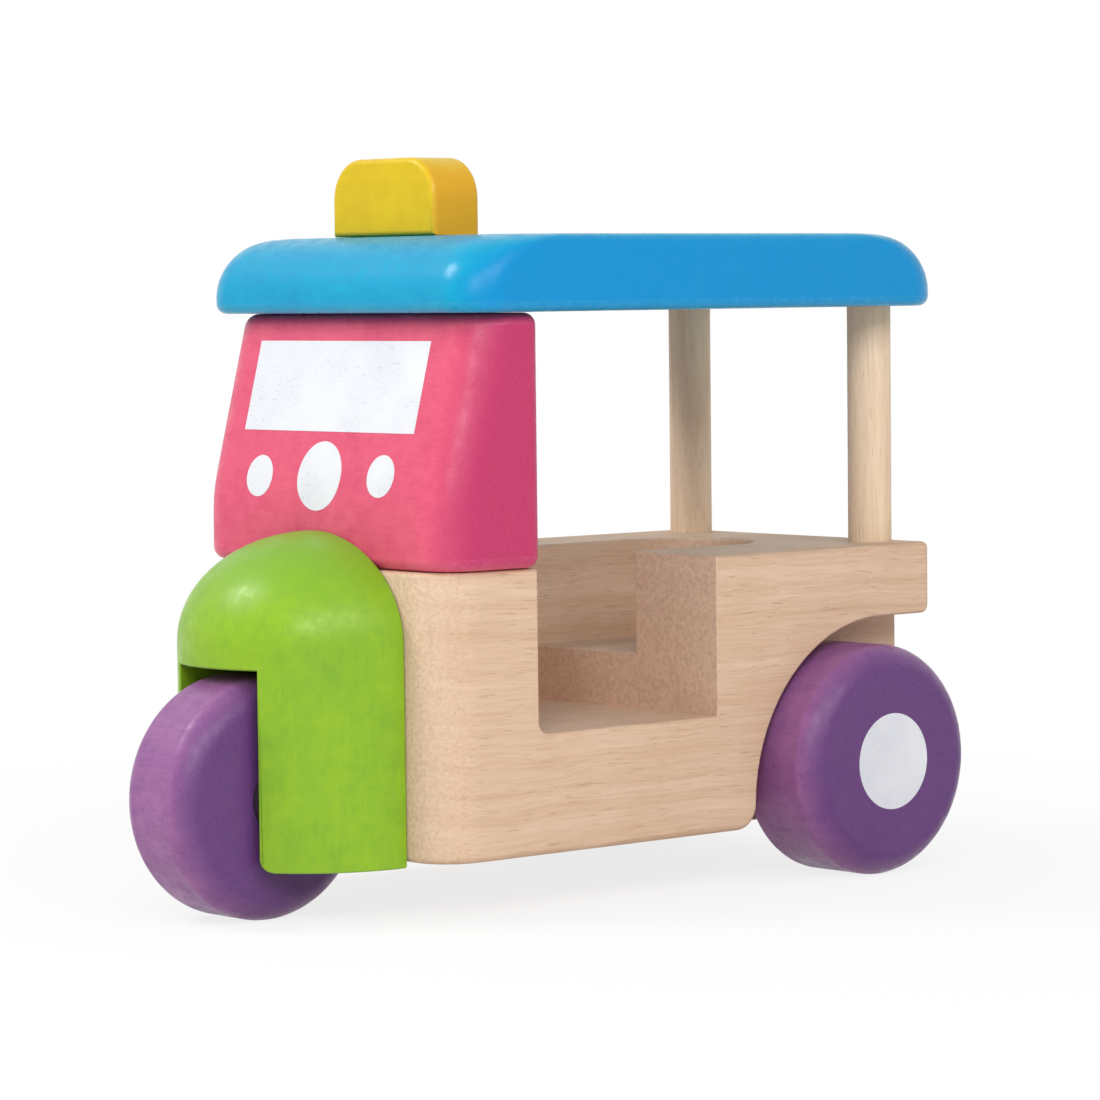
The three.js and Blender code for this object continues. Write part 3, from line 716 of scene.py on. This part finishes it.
# %% [markdown]
# ## Posts
# Two bought dowels carry the rear of the roof. A dowel is a rod with its ends broken by sandpaper, so the
# end edges are rounded. It has many sides, because a thin straight rod that is lit from the side shows
# every facet.

# %% Posts
POST_EDGE = 0.5
posts = {}
for name in ("left", "right"):
    place = middle_mm("post_" + name)
    post = rod("dowel_post_" + name, "z", post_hole - HOLE_GAP, post_low.z, post_high.z, place, sides=64)
    round_edges(post, either(at(z=post_low.z), at(z=post_high.z)), POST_EDGE, steps=3)
    posts[name] = clean(post)
    tell(post)

# %% [markdown]
# ## Prints
# The windscreen, the lamps and the hub discs are plain white ink, printed on the cab and on the rear
# wheels. Ink is a film that follows the paint, also over the bend of the cab's front, so each print there
# starts as a flat patch ahead of the cab, is projected back on to it and gets a thickness of a few
# hundredths of a millimetre. The wheels' faces are flat, so a thin disc does for a hub.

# %% Prints on the cab
INK, INK_GAP = 0.05, 0.02
SCREEN_HIGH, SCREEN_WIDE, SCREEN_MIDDLE = 18.6, 56.2, 108
AHEAD = front - 20
FACING_FRONT = (0, -math.pi / 2, 0)


def print_on_cab(patch):
    """Presses a flat patch on to the cab, and gives it the thickness of the ink."""
    apply(
        patch, "SHRINKWRAP", target=cab, wrap_method="PROJECT", wrap_mode="ABOVE_SURFACE",
        offset=INK_GAP * MM, use_project_x=True, use_positive_direction=True, use_negative_direction=False)
    apply(patch, "SOLIDIFY", thickness=INK * MM, offset=1)
    return clean(patch)


nothing_chosen()
bpy.ops.mesh.primitive_grid_add(
    x_subdivisions=12, y_subdivisions=24, size=1, location=Vector((AHEAD, 0, SCREEN_MIDDLE)) * MM,
    rotation=FACING_FRONT)
bpy.context.object.scale = (SCREEN_HIGH * MM, SCREEN_WIDE * MM, 1)
windscreen = print_on_cab(settle("print_windscreen"))
tell(windscreen)

# %% Lamp prints
LAMP_OUT, LAMP_HEIGHT, LAMP_TILT = 20, 89.6, 0.4
SIDE_LAMP, MIDDLE_LAMP = 4.3, 7.1
lamps = []
for name, side, radius in (("left", -1, SIDE_LAMP), ("centre", 0, MIDDLE_LAMP), ("right", 1, SIDE_LAMP)):
    nothing_chosen()
    place = Vector((AHEAD, side * LAMP_OUT, LAMP_HEIGHT - side * LAMP_TILT))
    bpy.ops.mesh.primitive_circle_add(
        vertices=64, radius=radius * MM, fill_type="TRIFAN", location=place * MM, rotation=FACING_FRONT)
    lamp = settle("print_lamp_" + name)
    pick(lamp, "FACE", lambda face: True)
    bpy.ops.mesh.subdivide(number_cuts=5)
    bpy.ops.object.mode_set(mode="OBJECT")
    lamps.append(print_on_cab(lamp))
    tell(lamp)

# %% Hub prints
HUB, HUB_RIM, HUB_GAP = 10.4, 0.4, 0.01
hubs = []
for name, side in (("left", -1), ("right", 1)):
    low, high = box_mm("rear_wheel_" + name)
    face = low.y if side < 0 else high.y
    start, end = sorted((face + side * HUB_GAP, face + side * (HUB_GAP + INK)))
    hub = rod("print_hub_" + name, "y", HUB, start, end, AXLE)
    pick(hub, "FACE", lambda part: len(part.verts) > 4)
    bpy.ops.mesh.inset(thickness=HUB_RIM * MM, depth=0, use_individual=True)
    bpy.ops.object.mode_set(mode="OBJECT")
    hubs.append(clean(hub))
    tell(hub)

# %% [markdown]
# ## Finishes
# Nearly everything here is wood, bare or under a thin satin paint, so one grain serves every finish. It is
# a group of nodes that works in millimetres, with the grain along X: wandering growth rings, fine fibres,
# and short dark pores. Because it is a solid pattern, a face across the grain shows dots where a face along
# it shows dashes, just as a sawn block does.

# %% Node helpers


def add(tree, kind, inputs=None, **settings):
    """A node with its settings and its plain input values."""
    node = tree.nodes.new(kind)
    for name, value in settings.items():
        setattr(node, name, value)
    for name, value in (inputs or {}).items():
        node.inputs[name].default_value = value
    return node


def wire(tree, *pairs):
    """Links each output to its input."""
    for start, end in pairs:
        tree.links.new(start, end)


def set_or_wire(tree, socket, value):
    """Links a socket to an input, or gives it a plain value."""
    if isinstance(value, bpy.types.NodeSocket):
        wire(tree, (value, socket))
    else:
        socket.default_value = value


def maths(tree, operation, first, second):
    """A Math node on two values, each a socket or a plain number."""
    node = add(tree, "ShaderNodeMath", operation=operation)
    for slot, value in enumerate((first, second)):
        set_or_wire(tree, node.inputs[slot], value)
    return node.outputs[0]


def weigh(tree, *parts):
    """Adds up values, each times its share."""
    total = 0.0
    for value, share in parts:
        total = maths(tree, "ADD", total, maths(tree, "MULTIPLY", value, share))
    return total


def spread(tree, value, low, high, to_low=0.0, to_high=1.0):
    """Stretches a value from one range to another, and clamps it there."""
    ends = {"From Min": low, "From Max": high, "To Min": to_low, "To Max": to_high}
    node = add(tree, "ShaderNodeMapRange", ends)
    wire(tree, (value, node.inputs["Value"]))
    return node.outputs["Result"]


def new_group(name, inputs, outputs):
    """An empty node group with named inputs and outputs."""
    group = bpy.data.node_groups.new(name, "ShaderNodeTree")
    for label, kind, value in inputs:
        socket = group.interface.new_socket(label, in_out="INPUT", socket_type=kind)
        if value is not None:
            socket.default_value = value
    for label, kind in outputs:
        group.interface.new_socket(label, in_out="OUTPUT", socket_type=kind)
    return group, add(group, "NodeGroupInput"), add(group, "NodeGroupOutput")


FLOAT, VECTOR = "NodeSocketFloat", "NodeSocketVector"
PER_METRE = 1 / MM
print("ready to wire finishes")

# %% Wood grain group
WANDER = (0, 5, 5)
PITH_ASIDE, PITH_BELOW = 23.0, 64.0
grain, given, put = new_group(
    "wood_grain",
    [("Place", VECTOR, None), ("Ring gap", FLOAT, 4.0), ("Fibre length", FLOAT, 18.0),
     ("Pores", FLOAT, 0.5)],
    [("Rings", FLOAT), ("Fibres", FLOAT), ("Pores", FLOAT), ("Height", FLOAT)])

in_mm = add(grain, "ShaderNodeVectorMath", operation="SCALE")
in_mm.inputs["Scale"].default_value = PER_METRE
drift = add(grain, "ShaderNodeTexNoise", {"Scale": 0.022, "Detail": 2.0, "Roughness": 0.5})
centred = add(grain, "ShaderNodeVectorMath", operation="SUBTRACT")
centred.inputs[1].default_value = (0.5, 0.5, 0.5)
swing = add(grain, "ShaderNodeVectorMath", operation="MULTIPLY")
swing.inputs[1].default_value = WANDER
bent = add(grain, "ShaderNodeVectorMath", operation="ADD")
wire(
    grain, (given.outputs["Place"], in_mm.inputs[0]), (in_mm.outputs[0], drift.inputs["Vector"]),
    (drift.outputs["Color"], centred.inputs[0]), (centred.outputs[0], swing.inputs[0]),
    (in_mm.outputs[0], bent.inputs[0]), (swing.outputs[0], bent.inputs[1]))

split = add(grain, "ShaderNodeSeparateXYZ")
wire(grain, (bent.outputs[0], split.inputs[0]))
aside = maths(grain, "ADD", split.outputs["Y"], PITH_ASIDE)
above = maths(grain, "ADD", split.outputs["Z"], PITH_BELOW)
squares = maths(grain, "ADD", maths(grain, "POWER", aside, 2.0), maths(grain, "POWER", above, 2.0))
from_pith = maths(grain, "SQRT", squares, 0.0)
ring_step = maths(grain, "DIVIDE", from_pith, given.outputs["Ring gap"])
ring_line = add(
    grain, "ShaderNodeTexNoise", {"Scale": 1.0, "Detail": 3.0, "Roughness": 0.6}, noise_dimensions="1D")
wire(grain, (ring_step, ring_line.inputs["W"]))
rings = spread(grain, ring_line.outputs["Fac"], 0.3, 0.7)
print("rings wander round a pith that lies outside the pieces")

# %% Fibres and pores
shorter = maths(grain, "DIVIDE", 1.0, given.outputs["Fibre length"])
along = maths(grain, "MULTIPLY", split.outputs["X"], shorter)
fibre_place = add(grain, "ShaderNodeCombineXYZ")
wire(
    grain, (along, fibre_place.inputs["X"]), (split.outputs["Y"], fibre_place.inputs["Y"]),
    (split.outputs["Z"], fibre_place.inputs["Z"]))
fibre_noise = add(grain, "ShaderNodeTexNoise", {"Scale": 1.7, "Detail": 4.0, "Roughness": 0.6})
wire(grain, (fibre_place.outputs[0], fibre_noise.inputs["Vector"]))
fibres = spread(grain, fibre_noise.outputs["Fac"], 0.3, 0.7)

pore_place = add(grain, "ShaderNodeVectorMath", operation="MULTIPLY")
pore_place.inputs[1].default_value = (4.5, 3.4, 3.4)
pore_noise = add(grain, "ShaderNodeTexNoise", {"Scale": 1.0, "Detail": 1.0, "Roughness": 0.4})
wire(
    grain, (fibre_place.outputs[0], pore_place.inputs[0]),
    (pore_place.outputs[0], pore_noise.inputs["Vector"]))
dashes = spread(grain, pore_noise.outputs["Fac"], 0.64, 0.76)
pores = maths(grain, "MULTIPLY", dashes, given.outputs["Pores"])
height = maths(grain, "SUBTRACT", maths(grain, "MULTIPLY", fibres, 0.5), pores)
wire(
    grain, (rings, put.inputs["Rings"]), (fibres, put.inputs["Fibres"]), (pores, put.inputs["Pores"]),
    (height, put.inputs["Height"]))
print("grain group has", len(grain.nodes), "nodes")

# %% [markdown]
# ## Paint film
# The paint is brushed or dipped in thin coats. It pools a little, so its tone drifts over a few centimetres
# and is mottled over a few millimetres, it has a fine orange peel, and here and there a speck of dust has
# dried in it. This group gives those four as values, and each paint decides what to do with them.

# %% Paint film group
film, given, put = new_group(
    "paint_film",
    [("Place", VECTOR, None), ("Specks", FLOAT, 0.6)],
    [("Drift", FLOAT), ("Mottle", FLOAT), ("Peel", FLOAT), ("Specks", FLOAT)])
in_mm = add(film, "ShaderNodeVectorMath", operation="SCALE")
in_mm.inputs["Scale"].default_value = PER_METRE
pool = add(film, "ShaderNodeTexNoise", {"Scale": 0.06, "Detail": 3.0, "Roughness": 0.55})
mottle = add(film, "ShaderNodeTexNoise", {"Scale": 0.26, "Detail": 5.0, "Roughness": 0.68})
peel = add(film, "ShaderNodeTexNoise", {"Scale": 1.1, "Detail": 2.0, "Roughness": 0.5})
speck_cells = add(film, "ShaderNodeTexVoronoi", {"Scale": 0.24, "Randomness": 1.0})
speck_fade = add(film, "ShaderNodeTexNoise", {"Scale": 0.11, "Detail": 0.0})
wire(
    film, (given.outputs["Place"], in_mm.inputs[0]), (in_mm.outputs[0], pool.inputs["Vector"]),
    (in_mm.outputs[0], mottle.inputs["Vector"]), (in_mm.outputs[0], peel.inputs["Vector"]),
    (in_mm.outputs[0], speck_cells.inputs["Vector"]),
    (in_mm.outputs[0], speck_fade.inputs["Vector"]))
near_speck = spread(film, speck_cells.outputs["Distance"], 0.05, 0.09, 1.0, 0.0)
some = spread(film, speck_fade.outputs["Fac"], 0.5, 0.62)
specks = maths(film, "MULTIPLY", maths(film, "MULTIPLY", near_speck, some), given.outputs["Specks"])
wire(
    film, (spread(film, pool.outputs["Fac"], 0.3, 0.7), put.inputs["Drift"]),
    (spread(film, mottle.outputs["Fac"], 0.34, 0.66), put.inputs["Mottle"]),
    (peel.outputs["Fac"], put.inputs["Peel"]), (specks, put.inputs["Specks"]))
print("paint film group has", len(film.nodes), "nodes")

# %% Making a finish


def colour(red, green, blue):
    """A colour as a screen shows it, from 0 to 255, in the linear light that the nodes use."""
    def linear(value):
        value /= 255
        return value / 12.92 if value <= 0.04045 else ((value + 0.055) / 1.055) ** 2.4
    return (linear(red), linear(green), linear(blue), 1.0)


def blend_colours(tree, share, first, second):
    """A colour between two, each a socket or a plain colour."""
    node = add(tree, "ShaderNodeMix", data_type="RGBA", clamp_factor=True)
    wire(tree, (share, node.inputs[0]))
    for slot, value in ((6, first), (7, second)):
        set_or_wire(tree, node.inputs[slot], value)
    return node.outputs[2]


def grain_along(tree, axis):
    """Object coordinates, turned so that the grain's X runs along the piece's own axis."""
    place = add(tree, "ShaderNodeTexCoord")
    turn = add(tree, "ShaderNodeMapping", vector_type="POINT")
    turn.inputs["Rotation"].default_value = {
        "x": (0, 0, 0), "y": (0, 0, -math.pi / 2), "z": (0, math.pi / 2, 0)}[axis]
    wire(tree, (place.outputs["Object"], turn.inputs["Vector"]))
    return turn.outputs["Vector"]


def new_finish(name):
    """A material with its node tree and its Principled shader."""
    finish = bpy.data.materials.new(name)
    finish.use_nodes = True
    tree = finish.node_tree
    shader = tree.nodes["Principled BSDF"]
    return finish, tree, shader


def use_group(tree, group, place, **values):
    """Places a node group at these coordinates, with its own values."""
    node = add(tree, "ShaderNodeGroup", node_tree=group)
    wire(tree, (place, node.inputs["Place"]))
    for label, value in values.items():
        node.inputs[label.replace("_", " ")].default_value = value
    return node.outputs


def raise_bump(tree, shader, height, strength, distance):
    """Lets a height in the pattern tilt the surface, with the distance in millimetres."""
    bump = add(tree, "ShaderNodeBump", {"Strength": strength, "Distance": distance * MM})
    wire(tree, (height, bump.inputs["Height"]), (bump.outputs["Normal"], shader.inputs["Normal"]))


print("ready to make finishes")

# %% [markdown]
# ## Bare wood
# The chassis and the posts are a pale hardwood with nothing but a thin clear oil. Light and dark bands
# follow the rings, the fibres make fine streaks, and the pores are short brown dashes. Sawn ends are paler,
# with fine scuffs in place of the dashes, and where hands rub the sanded edges, the wood is a little
# darker.

# %% Bare wood
def bare_wood(name, axis, light, dark, pore_colour, ring_gap=5.0, fibre_length=26.0):
    """A bare wood with its grain along one axis."""
    finish, tree, shader = new_finish(name)
    place = grain_along(tree, axis)
    wood = use_group(tree, grain, place, Ring_gap=ring_gap, Fibre_length=fibre_length, Pores=0.4)
    film_out = use_group(tree, film, place, Specks=0.0)
    tone = weigh(tree, (wood["Rings"], 0.35), (wood["Fibres"], 0.45), (film_out["Drift"], 0.2))
    base = blend_colours(tree, tone, light, dark)
    ends = add(tree, "ShaderNodeAttribute", attribute_name="end_grain")
    sawn = spread(tree, ends.outputs["Fac"], 0.5, 1.0)
    pored = maths(tree, "MULTIPLY", wood["Pores"], maths(tree, "SUBTRACT", 1.0, sawn))
    base = blend_colours(tree, pored, base, pore_colour)
    rubbed_and_sheen = add(tree, "ShaderNodeAttribute", attribute_name="rubbed_and_sheen")
    soiled = maths(tree, "MULTIPLY", rubbed_and_sheen.outputs["Fac"], maths(tree, "MULTIPLY", wood["Fibres"], 0.2))
    base = blend_colours(tree, soiled, base, pore_colour)
    base = blend_colours(tree, maths(tree, "MULTIPLY", sawn, 0.6), base, light)
    scuffed = maths(tree, "MULTIPLY", sawn, spread(tree, film_out["Peel"], 0.4, 0.7, 0.0, 0.28))
    base = blend_colours(tree, scuffed, base, pore_colour)
    wire(tree, (base, shader.inputs["Base Color"]))
    wire(tree, (spread(tree, wood["Fibres"], 0.0, 1.0, 0.52, 0.68), shader.inputs["Roughness"]))
    shader.inputs["Specular IOR Level"].default_value = 0.3
    raise_bump(tree, shader, wood["Height"], strength=0.3, distance=0.1)
    return finish


chassis_wood = bare_wood(
    "chassis_wood", "x", light=colour(226, 197, 171), dark=colour(199, 162, 131),
    pore_colour=colour(150, 106, 80))
# The posts' wood is paler than the chassis wood: a paler dowel, and also painted light that lifts the posts
# out of the shade under the roof.
post_wood_with_painted_light = bare_wood(
    "post_wood_with_painted_light", "z", light=colour(239, 217, 190), dark=colour(218, 186, 153),
    pore_colour=colour(168, 126, 96), ring_gap=3.0, fibre_length=20.0)
peg_wood = bare_wood(
    "peg_wood", "z", light=colour(226, 200, 168), dark=colour(202, 166, 130),
    pore_colour=colour(148, 108, 80))
print("bare wood for the chassis, the posts and the hidden pegs")

# %% [markdown]
# ## Painted wood
# Each paint is a strong colour over the same grain. The fibres show through as faint streaks in tone and in
# relief, the tone drifts where the paint pooled, and faces across the grain are deeper in colour: partly
# end grain that drank more paint, and partly painted shade, matched to the shaded sides of the cab, the
# roof, the sign and the wheels. On rubbed edges a paler colour comes through in broken patches: partly
# thin, worn paint and partly a painted highlight along the edges. The gloss is a satin one, a little
# uneven.

# %% Painted wood
def painted(name, axis, main, deep, ends, thin_paint_and_sheen, roughness=0.24, shine=0.3, grain_relief=0.4):
    """A satin paint on wood with its grain along one axis."""
    finish, tree, shader = new_finish(name)
    place = grain_along(tree, axis)
    wood = use_group(tree, grain, place, Ring_gap=3.0, Fibre_length=16.0, Pores=0.3)
    film_out = use_group(tree, film, place, Specks=0.5)
    tone = weigh(
        tree, (film_out["Drift"], 0.35), (wood["Fibres"], 0.25), (film_out["Mottle"], 0.4),
        (wood["Pores"], 0.4))
    base = blend_colours(tree, tone, main, deep)
    # Faces across the grain take the ends colour: partly the deeper end grain, and partly painted shade for
    # the sides of the cab, roof, sign and wheels.
    across = add(tree, "ShaderNodeAttribute", attribute_name="end_grain")
    soaked_and_shaded = spread(tree, across.outputs["Fac"], 0.35, 0.95)
    soaked_and_shaded = maths(tree, "MULTIPLY", soaked_and_shaded, spread(tree, wood["Fibres"], 0.0, 1.0, 0.82, 1.0))
    base = blend_colours(tree, soaked_and_shaded, base, ends)
    # Edges that hands rub turn paler in broken patches: partly thin, worn paint and partly a painted
    # highlight.
    rubbed_and_sheen = add(tree, "ShaderNodeAttribute", attribute_name="rubbed_and_sheen")
    patchy_wear_and_sheen = spread(tree, film_out["Peel"], 0.42, 0.68, 0.02, 0.1)
    base = blend_colours(tree, maths(tree, "MULTIPLY", rubbed_and_sheen.outputs["Fac"], patchy_wear_and_sheen), base, thin_paint_and_sheen)
    base = blend_colours(tree, film_out["Specks"], base, ends)
    wire(tree, (base, shader.inputs["Base Color"]))
    uneven = weigh(tree, (film_out["Mottle"], 0.2), (wood["Fibres"], 0.06))
    wire(tree, (maths(tree, "ADD", uneven, roughness), shader.inputs["Roughness"]))
    shader.inputs["Specular IOR Level"].default_value = shine
    relief = weigh(tree, (film_out["Peel"], 0.7), (wood["Height"], grain_relief))
    raise_bump(tree, shader, relief, strength=0.2, distance=0.1)
    return finish


# Each ends colour is partly deeper end grain and partly painted shade for the piece's sides; each thin
# colour is partly worn paint and partly a painted edge highlight.
cab_pink = painted(
    "cab_pink", "y", main=colour(227, 96, 123), deep=colour(202, 66, 100), ends=colour(184, 48, 98),
    thin_paint_and_sheen=colour(240, 150, 172))
roof_blue = painted(
    "roof_blue", "y", main=colour(2, 162, 200), deep=colour(0, 138, 184), ends=colour(0, 138, 200),
    thin_paint_and_sheen=colour(120, 204, 232), roughness=0.16, shine=0.22)
sign_yellow = painted(
    "sign_yellow", "y", main=colour(220, 190, 8), deep=colour(204, 170, 8), ends=colour(222, 160, 30),
    thin_paint_and_sheen=colour(242, 224, 100))
fork_green = painted(
    "fork_green", "z", main=colour(146, 187, 32), deep=colour(116, 162, 38), ends=colour(120, 168, 40),
    thin_paint_and_sheen=colour(188, 220, 96))
wheel_purple = painted(
    "wheel_purple", "y", main=colour(160, 104, 155), deep=colour(122, 73, 128), ends=colour(92, 54, 113),
    thin_paint_and_sheen=colour(172, 132, 180), grain_relief=0.08)
print("five paints")

# %% [markdown]
# ## Ink, steel and nylon
# The ink is nearly white, and the grain under it breaks it with a few fine marks. The axles are ground
# steel with faint turning lines, the washers are dark nylon, and the bushes are milky nylon. They hide
# inside, and still get their own finish, because a part may be taken apart in another scene.

# %% Ink
ink, tree, shader = new_finish("white_ink")
place = grain_along(tree, "y")
wood = use_group(tree, grain, place, Ring_gap=3.0, Fibre_length=7.0, Pores=0.8)
film_out = use_group(tree, film, place, Specks=0.35)
base = blend_colours(tree, film_out["Drift"], colour(228, 229, 233), colour(214, 216, 223))
marks = maths(tree, "MULTIPLY", wood["Pores"], spread(tree, film_out["Drift"], 0.3, 0.8, 0.05, 0.75))
base = blend_colours(tree, marks, base, colour(170, 160, 165))
base = blend_colours(tree, film_out["Specks"], base, colour(190, 195, 205))
wire(tree, (base, shader.inputs["Base Color"]))
wire(tree, (spread(tree, film_out["Peel"], 0.3, 0.7, 0.42, 0.55), shader.inputs["Roughness"]))
raise_bump(tree, shader, film_out["Peel"], strength=0.2, distance=0.05)
print("ink for the windscreen, the lamps and the hubs")

# %% Steel and nylon
steel, tree, shader = new_finish("axle_steel")
lines = use_group(tree, grain, grain_along(tree, "z"), Ring_gap=0.6, Fibre_length=0.2, Pores=0.1)
base = blend_colours(tree, lines["Fibres"], colour(196, 198, 202), colour(160, 163, 168))
wire(tree, (base, shader.inputs["Base Color"]))
wire(tree, (spread(tree, lines["Fibres"], 0.0, 1.0, 0.25, 0.4), shader.inputs["Roughness"]))
shader.inputs["Metallic"].default_value = 1.0


def moulded(name, pattern, first, second, smooth, rough):
    """A moulded plastic whose colour and roughness vary a little over the surface."""
    finish, tree, shader = new_finish(name)
    moulding = use_group(tree, film, grain_along(tree, "y"), Specks=0.0)
    wire(tree, (blend_colours(tree, moulding[pattern], first, second), shader.inputs["Base Color"]))
    wire(tree, (spread(tree, moulding["Peel"], 0.3, 0.7, smooth, rough), shader.inputs["Roughness"]))
    return finish


washer_nylon = moulded(
    "washer_nylon", "Peel", colour(46, 30, 44), colour(26, 18, 28), smooth=0.6, rough=0.75)
bush_nylon = moulded(
    "bush_nylon", "Drift", colour(236, 234, 226), colour(222, 219, 208), smooth=0.4, rough=0.5)
print("steel, dark nylon and milky nylon")

# %% [markdown]
# ## Putting it together
# Each new piece takes its finish, rides on the body that carries it and stands for the frame's piece of the
# same kind. The rear wheels and their hub prints turn with the rear axle, the front wheel turns alone, and
# all the rest belongs to the body. The pieces inside stay as the frame gives them, and only get a finish.

# %% Pieces on their bodies
fitted = (
    (chassis, chassis_wood, "x", "plain_wood", "body", "chassis_block"),
    (cab, cab_pink, "y", "pink_paint", "body", "cab_block"),
    (roof, roof_blue, "y", "blue_paint", "body", "roof_board"),
    (sign, sign_yellow, "y", "yellow_paint", "body", "roof_sign"),
    (fork, fork_green, "z", "green_paint", "body", "front_fork"),
    (plug, fork_green, "z", "green_paint", "body", "front_axle_plug"),
    (wheel_front, wheel_purple, "y", "purple_paint", "front_wheel", "front_wheel"),
    (rear_wheels["left"], wheel_purple, "y", "purple_paint", "rear_axle", "rear_wheel_left"),
    (rear_wheels["right"], wheel_purple, "y", "purple_paint", "rear_axle", "rear_wheel_right"),
    (posts["left"], post_wood_with_painted_light, "z", "plain_wood", "body", "post_left"),
    (posts["right"], post_wood_with_painted_light, "z", "plain_wood", "body", "post_right"),
)
for piece, finish, grain_axis, slot, body, node in fitted:
    piece.data.materials.clear()
    piece.data.materials.append(finish)
    mark_end_grain(piece, grain_axis)
    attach(piece, body)
    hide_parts(node)

for piece in [windscreen] + lamps + hubs:
    piece.data.materials.clear()
    piece.data.materials.append(ink)
    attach(piece, "rear_axle" if piece in hubs else "body")
print("fitted", len(fitted), "pieces and", 1 + len(lamps) + len(hubs), "prints")

# %% Hidden pieces
HIDDEN = {"dowel": peg_wood, "axle": steel, "washer": washer_nylon, "bush": bush_nylon}
for name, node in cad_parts.items():
    for word, finish in HIDDEN.items():
        if word in name and name != "front_axle_plug":
            for slot in node.material_slots:
                slot.material = finish
            print(name, "is", finish.name)

# %% [markdown]
# ## Studio
# The toy stands on a white table under three soft lights. The key light stands high on the far side and
# makes the front faces the brightest. A small light near the camera gives the round corners their
# highlights, and a broad one on the near side reaches in under the roof. The floor takes the shadow near
# the toy. Only the camera and mirror-like surfaces see it brightened to white further out, so no extra
# light falls on the toy.

# %% Floor
FLOOR_SIZE = 8
TABLE = (0.86, 0.86, 0.86, 1)
WHITE = (1, 1, 1, 1)
SHADOW_NEAR, SHADOW_FAR, SHADOW_LIFT = 0.05, 0.3, 0.8


def seen_directly(tree):
    """1 for what the camera sees, also in a mirror or through glass, and 0 for light on the pieces."""
    path = add(tree, "ShaderNodeLightPath").outputs
    direct = maths(tree, "MAXIMUM", path["Is Camera Ray"], path["Is Glossy Ray"])
    return maths(tree, "MAXIMUM", direct, path["Is Transmission Ray"])


nothing_chosen()
bpy.ops.mesh.primitive_plane_add(size=FLOOR_SIZE, location=(0, 0, 0))
floor = settle("floor")
white_table, tree, shader = new_finish("white_table")
tree.nodes.remove(shader)
table = add(tree, "ShaderNodeBsdfDiffuse", {"Color": TABLE})
glow = add(tree, "ShaderNodeEmission", {"Color": WHITE})
place = add(tree, "ShaderNodeTexCoord")
away = add(tree, "ShaderNodeVectorMath", operation="LENGTH")
wire(tree, (place.outputs["Object"], away.inputs[0]))
far_off = spread(tree, away.outputs["Value"], SHADOW_NEAR, SHADOW_FAR, SHADOW_LIFT, 1.0)
lift = add(tree, "ShaderNodeMixShader")
wire(
    tree, (maths(tree, "MULTIPLY", seen_directly(tree), far_off), lift.inputs[0]),
    (table.outputs[0], lift.inputs[1]), (glow.outputs[0], lift.inputs[2]),
    (lift.outputs[0], tree.nodes["Material Output"].inputs["Surface"]))
floor.data.materials.append(white_table)
print("floor at z = 0")

# %% World and lamps
AMBIENT = 0.5
AIM = Vector((0, 0, 0.07))
world = bpy.data.worlds.new("studio")
bpy.context.scene.world = world
world.use_nodes = True
tree = world.node_tree
sky = tree.nodes["Background"]
sky.inputs["Color"].default_value = WHITE
wire(tree, (spread(tree, seen_directly(tree), 0.0, 1.0, AMBIENT, 1.0), sky.inputs["Strength"]))


def soft_light(name, direction, distance, wide, tall, watts):
    """A soft box that looks at the toy from this direction, in metres."""
    lamp = bpy.data.lights.new(name, "AREA")
    lamp.shape = "RECTANGLE"
    lamp.size, lamp.size_y = wide, tall
    lamp.energy = watts
    holder = bpy.data.objects.new(name, lamp)
    bpy.context.collection.objects.link(holder)
    direction = Vector(direction).normalized()
    holder.location = AIM + direction * distance
    holder.rotation_euler = direction.to_track_quat("Z", "Y").to_euler()
    print(name, "of", watts, "W at", [round(value, 2) for value in holder.location])


soft_light("key_light", (-0.57, 0.44, 0.7), distance=0.9, wide=0.28, tall=0.28, watts=3.6)
soft_light("front_light", (-0.7, -0.66, 0.48), distance=0.9, wide=0.28, tall=0.28, watts=2.1)
soft_light("near_light", (-0.2, -0.9, 0.58), distance=1.1, wide=0.8, tall=0.5, watts=3.9)

# %% [markdown]
# ## Colours
# The Standard view shows each colour as it is written, where a filmic one would grey the white table and
# dull the paints.

# %% Colours as they are written
bpy.context.scene.view_settings.view_transform = "Standard"
print("view transform", bpy.context.scene.view_settings.view_transform)
